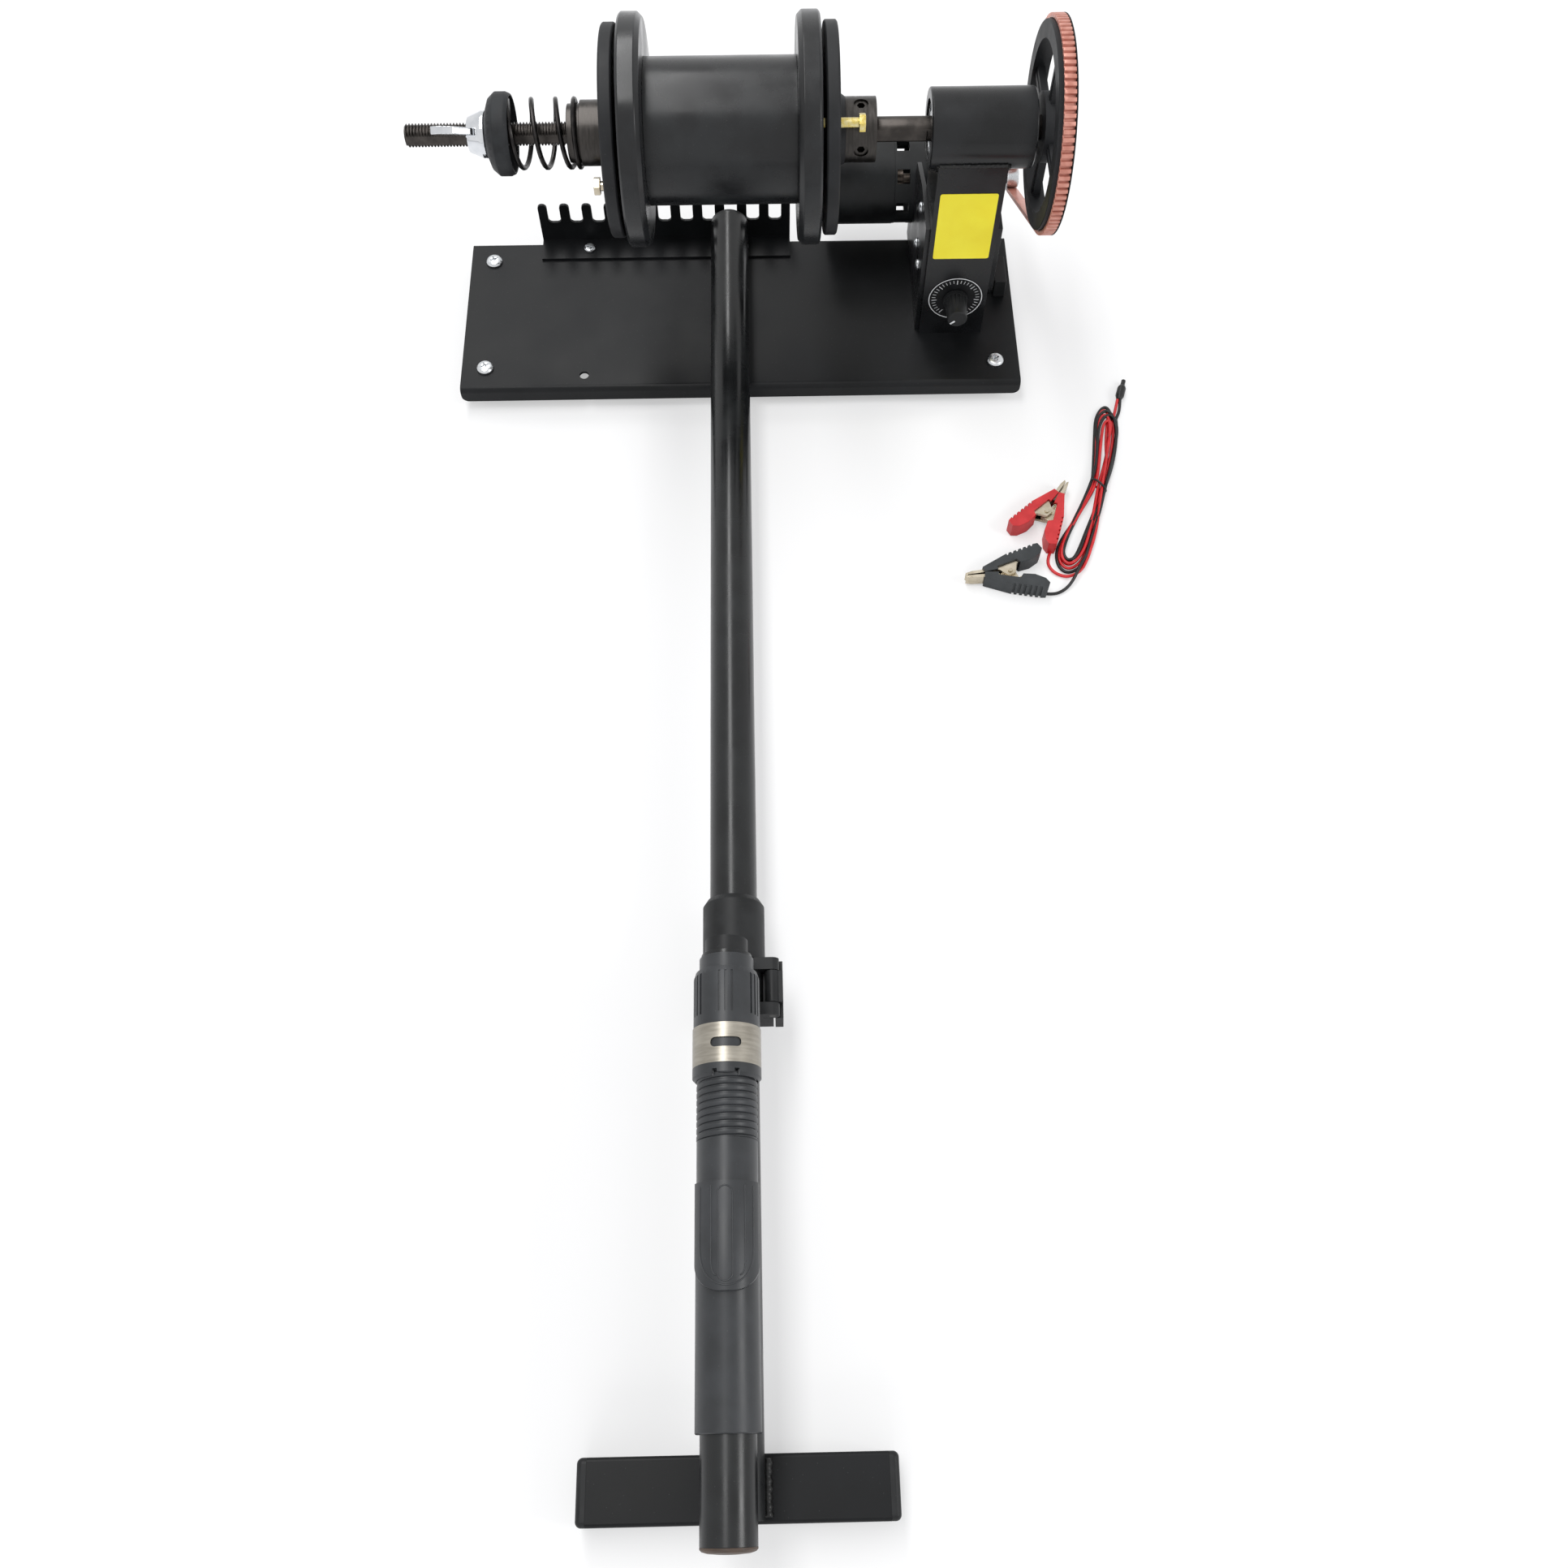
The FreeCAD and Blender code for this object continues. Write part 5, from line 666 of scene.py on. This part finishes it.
bare = softened("spindle_shaft", "bareShaft", rod["bareEdge"])
applyModifiers(bare)
cutPlane(bare, at(rod["threadEnd"] - rod["overlap"], 0, 0), (-1, 0, 0))
for x in (rod["bareEnd"], rod["bareEnd"] + rod["bareRunOut"]):
    cutPlane(bare, at(x, 0, 0), (1, 0, 0), away=False)
flatY = at(0, spindle["y"] - rod["bareFlat"], 0).y
for vertex in bare.data.vertices:
    if at(rod["bareStart"], 0, 0).x < vertex.co.x < at(rod["bareEnd"] + rod["bareBeyond"], 0, 0).x:
        vertex.co.y = max(vertex.co.y, flatY)
finished(join([thread, bare], "threadedRod"), "spindle", "oiledRod",
         ("spindle_shaft",), smooth=24)


# spring: round wire, open coils from the cup on and one closed on the collar
print("stage: spring, belt, wing nut")
spring = {"wireRadius": 1.58, "radius": 19.8, "left": -147.8, "pitch": 15.2, "openTurns": 3.1,
          "closedTurns": 0.92, "closedPitch": 3.3, "meet": -121.2, "startAngle": -90, "steps": 26}


def springPoint(turn):  # open coils first, then one closed on the collar
    x = spring["pitch"] * min(turn, spring["openTurns"])
    x += spring["closedPitch"] * max(0, turn - spring["openTurns"])
    angle = math.radians(spring["startAngle"]) + 2 * math.pi * turn
    return at(spring["left"] + x, spindle["y"] + spring["radius"] * math.cos(angle),
              spindle["z"] + spring["radius"] * math.sin(angle))


def springPart(name, firstTurn, lastTurn):
    count = round((lastTurn - firstTurn) * spring["steps"])
    places = [springPoint(firstTurn + (lastTurn - firstTurn) * i / count) for i in range(count + 1)]
    coil = roundLine(name, places, spring["wireRadius"])
    return finished(coil, None, "springWire", ("spring",))


# two lengths of one coil, split where they meet: the left towards the cup, the right towards the loose disc
meetTurn = (spring["meet"] - spring["left"]) / spring["pitch"]
leftCoils = springPart("springLeft", 0, meetTurn)
rightCoils = springPart("springRight", meetTurn, spring["openTurns"] + spring["closedTurns"])
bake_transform(leftCoils)
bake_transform(rightCoils)


# belt: backing with square ribs outwards, round the wheel and the motor's pulley
belt = {"left": 197.25, "width": 7.1, "inner": 0.05, "backing": 1.0, "rib": 2.95, "teeth": 121,
        "wheelRadius": 61.5, "pulleyRadius": 6.8, "pulleyY": 81, "pulleyZ": 65,
        "edge": 0.18, "edgeAngle": 40,
        # share of one rib's pitch, and the height there
        "profile": [(0.0, "backing"), (0.16, "backing"), (0.24, "backing"), (0.34, "rib"), (0.5, "rib"),
                    (0.66, "rib"), (0.86, "rib"), (0.96, "backing")]}


def beltPath():
    # an open belt round two wheels: what tells (place, outward) from the distance along it, and its length
    wheel = (spindle["y"], spindle["z"], belt["wheelRadius"])
    pulley = (belt["pulleyY"], belt["pulleyZ"], belt["pulleyRadius"])
    dy, dz = pulley[0] - wheel[0], pulley[1] - wheel[1]
    apart = math.hypot(dy, dz)
    lean = math.asin((wheel[2] - pulley[2]) / apart)
    heading = math.atan2(dz, dy)
    half = math.pi / 2 - lean
    straight = apart * math.cos(lean)
    bigArc = wheel[2] * (2 * math.pi - 2 * half)
    smallArc = pulley[2] * 2 * half
    total = bigArc + smallArc + 2 * straight
    # length, wheel that it starts on, angle there, and whether it bends round that wheel
    stretches = [(bigArc, wheel, heading + half, True), (straight, wheel, heading - half, False),
                 (smallArc, pulley, heading - half, True), (math.inf, pulley, heading + half, False)]

    def where(distance):
        distance %= total
        for length, (y, z, radius), angle, bends in stretches:
            if distance < length:
                break
            distance -= length
        if bends:
            angle += distance / radius
            distance = 0
        out = (math.cos(angle), math.sin(angle))
        return (y + out[0] * radius - out[1] * distance, z + out[1] * radius + out[0] * distance), out

    return where, total


where, beltLength = beltPath()
points, faces = [], []
for tooth in range(belt["teeth"]):
    for share, height in belt["profile"]:
        (y, z), out = where((tooth + share) * beltLength / belt["teeth"])
        for lift in (belt["inner"], belt[height]):
            for x in (belt["left"], belt["left"] + belt["width"]):
                points.append(at(x, y + out[0] * lift, z + out[1] * lift))
for a in range(0, len(points), 4):
    b = (a + 4) % len(points)
    faces += [(a, a + 1, b + 1, b), (a + 3, a + 2, b + 2, b + 3), (a + 2, a, b, b + 2),
              (a + 1, a + 3, b + 3, b + 1)]
ribbed = meshPiece("toothedBelt", points, faces=faces)
outwards(ribbed)
breakEdges(ribbed, belt["edge"], 2, belt["edgeAngle"])
finished(ribbed, nodes["drive_belt"]["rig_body"], "copperUrethane", ("drive_belt",))


# wing nut: the casting's corners melt into each other
nut = {"voxel": 0.4, "smooth": 7, "factor": 0.5}
cast = mergedCopy("wing_nut", "wingNutCasting", wholeFaces=False)
remesh = cast.modifiers.new("voxels", "REMESH")
remesh.mode = "VOXEL"
remesh.voxel_size = nut["voxel"] * mm
melt = cast.modifiers.new("melt", "SMOOTH")
melt.factor = nut["factor"]
melt.iterations = nut["smooth"]
finished(cast, "wing_nut", "polishedChrome", ("wing_nut",), smooth=70)


# reel seat: a coarse rounded thread on the body's front half
print("stage: reel seat")
seat = {"x": -10, "z": 78, "threadRear": -616, "threadFront": -526.3, "outer": 15.9, "core": 14.7,
        "pitch": 3.7, "groove": 1.15, "grooveFloor": 0.805, "depth": 0.95, "crestDrop": 0.04, "round": 0.3,
        "roundDrop": 0.25, "lastFace": 0.02, "steps": 72, "edge": 0.55, "edgeSegments": 3,
        "coreOverlap": 0.25, "endGap": 0.05, "near": 0.1, "outerNear": 0.06}
threaded = mergedCopy("reel_seat_body", "reelSeatBody")
axis = at(seat["x"], 0, seat["z"])
rear = at(0, seat["threadRear"] - seat["near"], 0).y
front = at(0, seat["threadFront"] + seat["near"], 0).y
for vertex in threaded.data.vertices:  # the solid is drawn in to its core where the thread goes over it
    co = vertex.co
    radius = math.hypot(co.x - axis.x, co.z - axis.z)
    if rear < co.y < front and abs(radius - seat["outer"] * mm) < seat["outerNear"] * mm:
        share = seat["core"] * mm / radius
        co.x, co.z = axis.x + (co.x - axis.x) * share, axis.z + (co.z - axis.z) * share
breakEdges(threaded, seat["edge"], seat["edgeSegments"])
finished(threaded, "base", "seatAbs", ("reel_seat_body",))

pitch, groove, curve, drop = seat["pitch"], seat["groove"], seat["round"], seat["roundDrop"]
low, high = seat["outer"] - seat["depth"], seat["outer"] - seat["crestDrop"]
threadLength = seat["threadFront"] - seat["threadRear"]
rings = screwedPiece("seatThread", [(0, low), (seat["grooveFloor"], low), (groove, high - drop),
                                    (groove + curve, high), (pitch - curve, high),
                                    (pitch - seat["lastFace"], high - drop), (pitch, low)],
                     pitch, int(threadLength / pitch) + 3, seat["steps"], -2 * pitch)
cutPlane(rings, (seat["endGap"] * mm, 0, 0), (-1, 0, 0))
cutPlane(rings, ((threadLength - seat["endGap"]) * mm, 0, 0), (1, 0, 0))
outwards(rings)
seatRear = at(seat["x"], seat["threadRear"], seat["z"])
rings.data.transform(Matrix.Translation(seatRear) @ Matrix.Rotation(math.pi / 2, 4, "Z"))
boreRadius = seat["core"] - seat["coreOverlap"]
cutOut(rings, turnedPiece("seatThreadBore", [(-1, 0), (-1, boreRadius), (threadLength + 1, boreRadius),
                                             (threadLength + 1, 0)], seatRear))
finished(rings, "base", "seatAbs", smooth=40)


# raised lines on the fixed hood: a bare long panel, two ridges beside it and a rim inside the rear edge
relief = {"crownZ": 80.5, "crown": 17.3, "bevel": 0.42, "sunk": 0.1, "front": -640.5, "panelMiddle": -0.6,
          "panelHalf": 3.7, "panelFront": -644.5, "panelRear": -682, "panelSteps": 12, "ridges": (-7.6, 9.2),
          "ridgeRear": -676, "ridgeSteps": 8, "hookAcross": 2.6, "hookBack": 7, "hookSteps": 6,
          "rimHalf": 13.2, "rimBend": -668, "rimRear": -687.6, "rimSideSteps": 6, "rimSteps": 24,
          "rimSwell": 0.02, "rimSquare": 0.8}


def onCrown(dx, y):
    rise = math.sqrt(relief["crown"] ** 2 - dx ** 2)
    return at(seat["x"] + dx, y, relief["crownZ"] + rise - relief["sunk"])


def straightRun(dx, begin, end, steps):
    return [onCrown(dx, begin + (end - begin) * i / steps) for i in range(steps + 1)]


def raisedLine(name, places, cyclic=False):
    return asMesh(roundLine(name, places, relief["bevel"], roundness=2, cyclic=cyclic))


panel = []
for startAngle, y in ((0, relief["panelFront"]), (math.pi, relief["panelRear"])):
    for i in range(relief["panelSteps"] + 1):
        angle = math.pi * i / relief["panelSteps"] + startAngle
        panel.append(onCrown(relief["panelMiddle"] + relief["panelHalf"] * math.cos(angle),
                             y + relief["panelHalf"] * math.sin(angle)))
lines = [raisedLine("hoodRelief", panel, cyclic=True)]
for side, x in zip((-1, 1), relief["ridges"]):
    ridge = straightRun(x, relief["front"], relief["ridgeRear"], relief["ridgeSteps"])
    for i in range(1, relief["hookSteps"] + 1):  # the rear end hooks inwards
        angle = math.pi / 2 * i / relief["hookSteps"]
        ridge.append(onCrown(x - side * relief["hookAcross"] * (1 - math.cos(angle)),
                             relief["ridgeRear"] - relief["hookBack"] * math.sin(angle)))
    lines.append(raisedLine("ridge", ridge))
half, bend = relief["rimHalf"], relief["rimBend"]
rim = straightRun(-half, relief["front"], bend, relief["rimSideSteps"])[:-1]
for i in range(relief["rimSteps"] + 1):
    angle = math.pi * i / relief["rimSteps"]
    rim.append(onCrown(-half * math.cos(angle) * (1 + relief["rimSwell"] * math.sin(2 * angle) ** 2),
                       bend + (relief["rimRear"] - bend) * math.sin(angle) ** relief["rimSquare"]))
rim += straightRun(half, bend, relief["front"], relief["rimSideSteps"])[1:]
lines.append(raisedLine("rim", rim))
finished(join(lines, "hoodRelief"), "base", "seatAbs", smooth=70)


# screws with a cross recess
print("stage: small parts on the post and the plate")
recess = {"long": 5.4, "wide": 1.15, "deep": 1.7, "turn": 0.4, "edge": 0.25, "plateTop": 23.4,
          "plateX": 183, "plateY": 51, "cheekShare": 0.62, "cheekLeft": 124.5, "cheekRight": 180.7,
          "cheekPlaces": [(10.15, 104), (14.63, 68), (-3.74, 66)]}


def crossCutter(place, axis, share):
    bars = []
    for turn in (0, math.pi / 2):
        bar = block("recessBar", recess["long"] * share, recess["wide"] * share, recess["deep"] * share * 2)
        aim = Vector(axis).to_track_quat("Z", "Y").to_matrix().to_4x4()
        bar.data.transform(Matrix.Translation(place) @ aim @ Matrix.Rotation(turn + recess["turn"], 4, "Z"))
        bars.append(bar)
    return bars


screws = softened("pan_screws", "pan_screwsSoftened", recess["edge"])
applyModifiers(screws)
cutters = []
for x in (-recess["plateX"], recess["plateX"]):
    for y in (-recess["plateY"], recess["plateY"]):
        cutters += crossCutter(at(x, y, recess["plateTop"]), (0, 0, 1), 1.0)
for y, z in recess["cheekPlaces"]:
    cutters += crossCutter(at(recess["cheekLeft"], y, z), (-1, 0, 0), recess["cheekShare"])
    cutters += crossCutter(at(recess["cheekRight"], y, z), (1, 0, 0), recess["cheekShare"])
cutOut(screws, join(cutters, "recessTool"), manyTools=True)
finished(screws, "base", "brightZinc", ("pan_screws",))


# weld beads under paint, where the housing sits in the post and at the arm's stand-off
weld = {"radius": 1.25, "lump": 2.4, "height": 0.45, "waves": ((0.16, 1.9), (0.08, 0.7)),
        "step": 0.92, "steps": 48, "inset": 0.6, "out": 0.35, "under": 0.5, "sideOut": 0.2,
        "sideShare": 0.97}
post = {"half": 22.4, "middle": 152.1, "housingRadius": 24.2}
footWeld = {"x": {"weldFootLeft": -21.6, "weldFootRight": 7.6}, "rear": -789, "step": 1.15, "count": 24,
            "z": 26.8, "radius": 2.7}
bumps = bpy.data.textures.new("weldRipple", "CLOUDS")
bumps.noise_scale = weld["lump"] * mm


def bead(name, path, radius=weld["radius"]):
    line = roundLine(name, path, radius)
    for i, point in enumerate(line.data.splines[0].points):
        point.radius = 1 + sum(size * math.sin(i * rate) for size, rate in weld["waves"])
    piece = asMesh(line)
    ripple = piece.modifiers.new("ripple", "DISPLACE")
    ripple.texture = bumps
    ripple.strength = weld["height"] * mm
    finished(piece, "base", "paintedWeld", smooth=70)


beadZ = spindle["z"] - math.sqrt(post["housingRadius"] ** 2 - post["half"] ** 2) - weld["under"]
beadX = post["middle"] - post["half"] + weld["inset"]
for name, side in (("weldFront", -1), ("weldBack", 1)):
    y = spindle["y"] + side * post["half"] + side * weld["out"]
    bead(name, [at(beadX + i * weld["step"], y, beadZ) for i in range(weld["steps"])])
reach = math.asin(post["half"] / post["housingRadius"]) * weld["sideShare"]
around = post["housingRadius"] + weld["sideOut"]
for name, side in (("weldLeft", -1), ("weldRight", 1)):
    x = post["middle"] + side * (post["half"] + weld["sideOut"])
    angles = [-reach + 2 * reach * i / weld["steps"] for i in range(weld["steps"] + 1)]
    bead(name, [at(x, spindle["y"] + around * math.sin(angle), spindle["z"] - around * math.cos(angle))
                for angle in angles])
for name, x in footWeld["x"].items():
    bead(name, [at(x, footWeld["rear"] + i * footWeld["step"], footWeld["z"])
                for i in range(footWeld["count"])], footWeld["radius"])


# dial: a printed ring round the knob, and a plain yellow plate above it
dial = {"x": 152.5, "z": 54, "face": -23.9, "outer": 19.4, "thick": 0.22, "ink": 0.06, "hole": 6.2,
        "ringOuter": 18.9, "ringInner": 18.3, "steps": 96, "ticks": 31, "sweep": 285, "gapAngle": -90,
        "tickFrom": 14.2, "tickTo": 16.8, "tickWide": 0.34, "longFrom": 13.2, "longWide": 0.48,
        "longEvery": 5}
punch = {"forward": 0.6, "front": 1, "back": 2, "steps": 48}  # the hole's tool, past the film at both ends
film = turnedPiece("dialFilm", [(0, 0), (0, dial["outer"]), (dial["thick"], dial["outer"]),
                                (dial["thick"], 0)],
                   at(dial["x"], dial["face"] - dial["thick"], dial["z"]), dial["steps"])
cutOut(film, turnedPiece("dialHole", [(-punch["front"], 0), (-punch["front"], dial["hole"]),
                                      (punch["back"], dial["hole"]), (punch["back"], 0)],
                         at(dial["x"], dial["face"] - punch["forward"], dial["z"]), punch["steps"]))
finished(film, "base", "dialFilm")

inkFront = dial["face"] - dial["thick"] - dial["ink"]
circle = turnedPiece("dialCircle", [(0, dial["ringInner"]), (0, dial["ringOuter"]),
                                    (dial["ink"], dial["ringOuter"]), (dial["ink"], dial["ringInner"])],
                     at(dial["x"], inkFront, dial["z"]), dial["steps"], closed=True)


def radialBar(name, y, angle, begin, end, wide, thick):  # lies outwards from the dial's middle
    middle = (begin + end) / 2
    place = at(dial["x"] + middle * math.cos(angle), y, dial["z"] + middle * math.sin(angle))
    bar = block(name, end - begin, thick, wide)
    bar.data.transform(Matrix.Translation(place) @ Matrix.Rotation(-angle, 4, "Y"))
    return bar


marks = [circle]
firstAngle = dial["gapAngle"] + (360 - dial["sweep"]) / 2
for i in range(dial["ticks"]):
    angle = math.radians(firstAngle + dial["sweep"] * i / (dial["ticks"] - 1))
    begin, wide = dial["tickFrom"], dial["tickWide"]
    if i % dial["longEvery"] == 0:
        begin, wide = dial["longFrom"], dial["longWide"]
    marks.append(radialBar("tick", inkFront + dial["ink"] / 2, angle, begin, dial["tickTo"], wide,
                           dial["ink"]))
finished(join(marks, "dialMarks"), "base", "whiteInk")

pointer = {"angle": 222, "from": 2.2, "to": 6.3, "wide": 1.35, "thick": 0.25, "y": -43.68, "edge": 0.1}
mark = radialBar("knobPointer", pointer["y"], math.radians(pointer["angle"]), pointer["from"], pointer["to"],
                 pointer["wide"], pointer["thick"])
breakEdges(mark, pointer["edge"], 2, 30)
finished(mark, "knob", "whiteInk")

plate = {"x": 152, "z": 118.5, "long": 38, "high": 55, "corner": 1.6, "cornerSegments": 6, "thick": 0.25}
sticker = block("yellowPlate", plate["long"], plate["thick"], plate["high"])
sticker.data.transform(Matrix.Translation(at(plate["x"], dial["face"] - plate["thick"] / 2, plate["z"])))
weight = sticker.data.attributes.new("bevel_weight_edge", "FLOAT", "EDGE")
for edge in sticker.data.edges:  # only the four short edges through the plate are rounded
    a, b = [sticker.data.vertices[i].co for i in edge.vertices]
    weight.data[edge.index].value = 1.0 if abs(a.y - b.y) > 1e-6 else 0.0
corners = sticker.modifiers.new("corners", "BEVEL")
corners.limit_method = "WEIGHT"
corners.width = plate["corner"] * mm
corners.segments = plate["cornerSegments"]
finished(sticker, "base", "yellowVinyl")


# twist tie round the hank
tie = {"wire": 1.5, "from": (245.2, -145.4), "to": (253.8, -155.2), "high": 7.3, "low": 0.6, "steps": 40}
loop = []
for i in range(tie["steps"]):
    angle = 2 * math.pi * i / tie["steps"]
    x, y = between(tie["from"], tie["to"], 0.5 - 0.5 * math.cos(angle))
    height = (tie["high"] + tie["low"]) / 2 + (tie["high"] - tie["low"]) / 2 * math.sin(angle)
    loop.append(at(x, y, max(height, tie["low"])))
band = roundLine("twistTie", loop, tie["wire"] / 2, kind="NURBS", cyclic=True, capped=False)
finished(band, "base", "blackPvc", smooth=70)
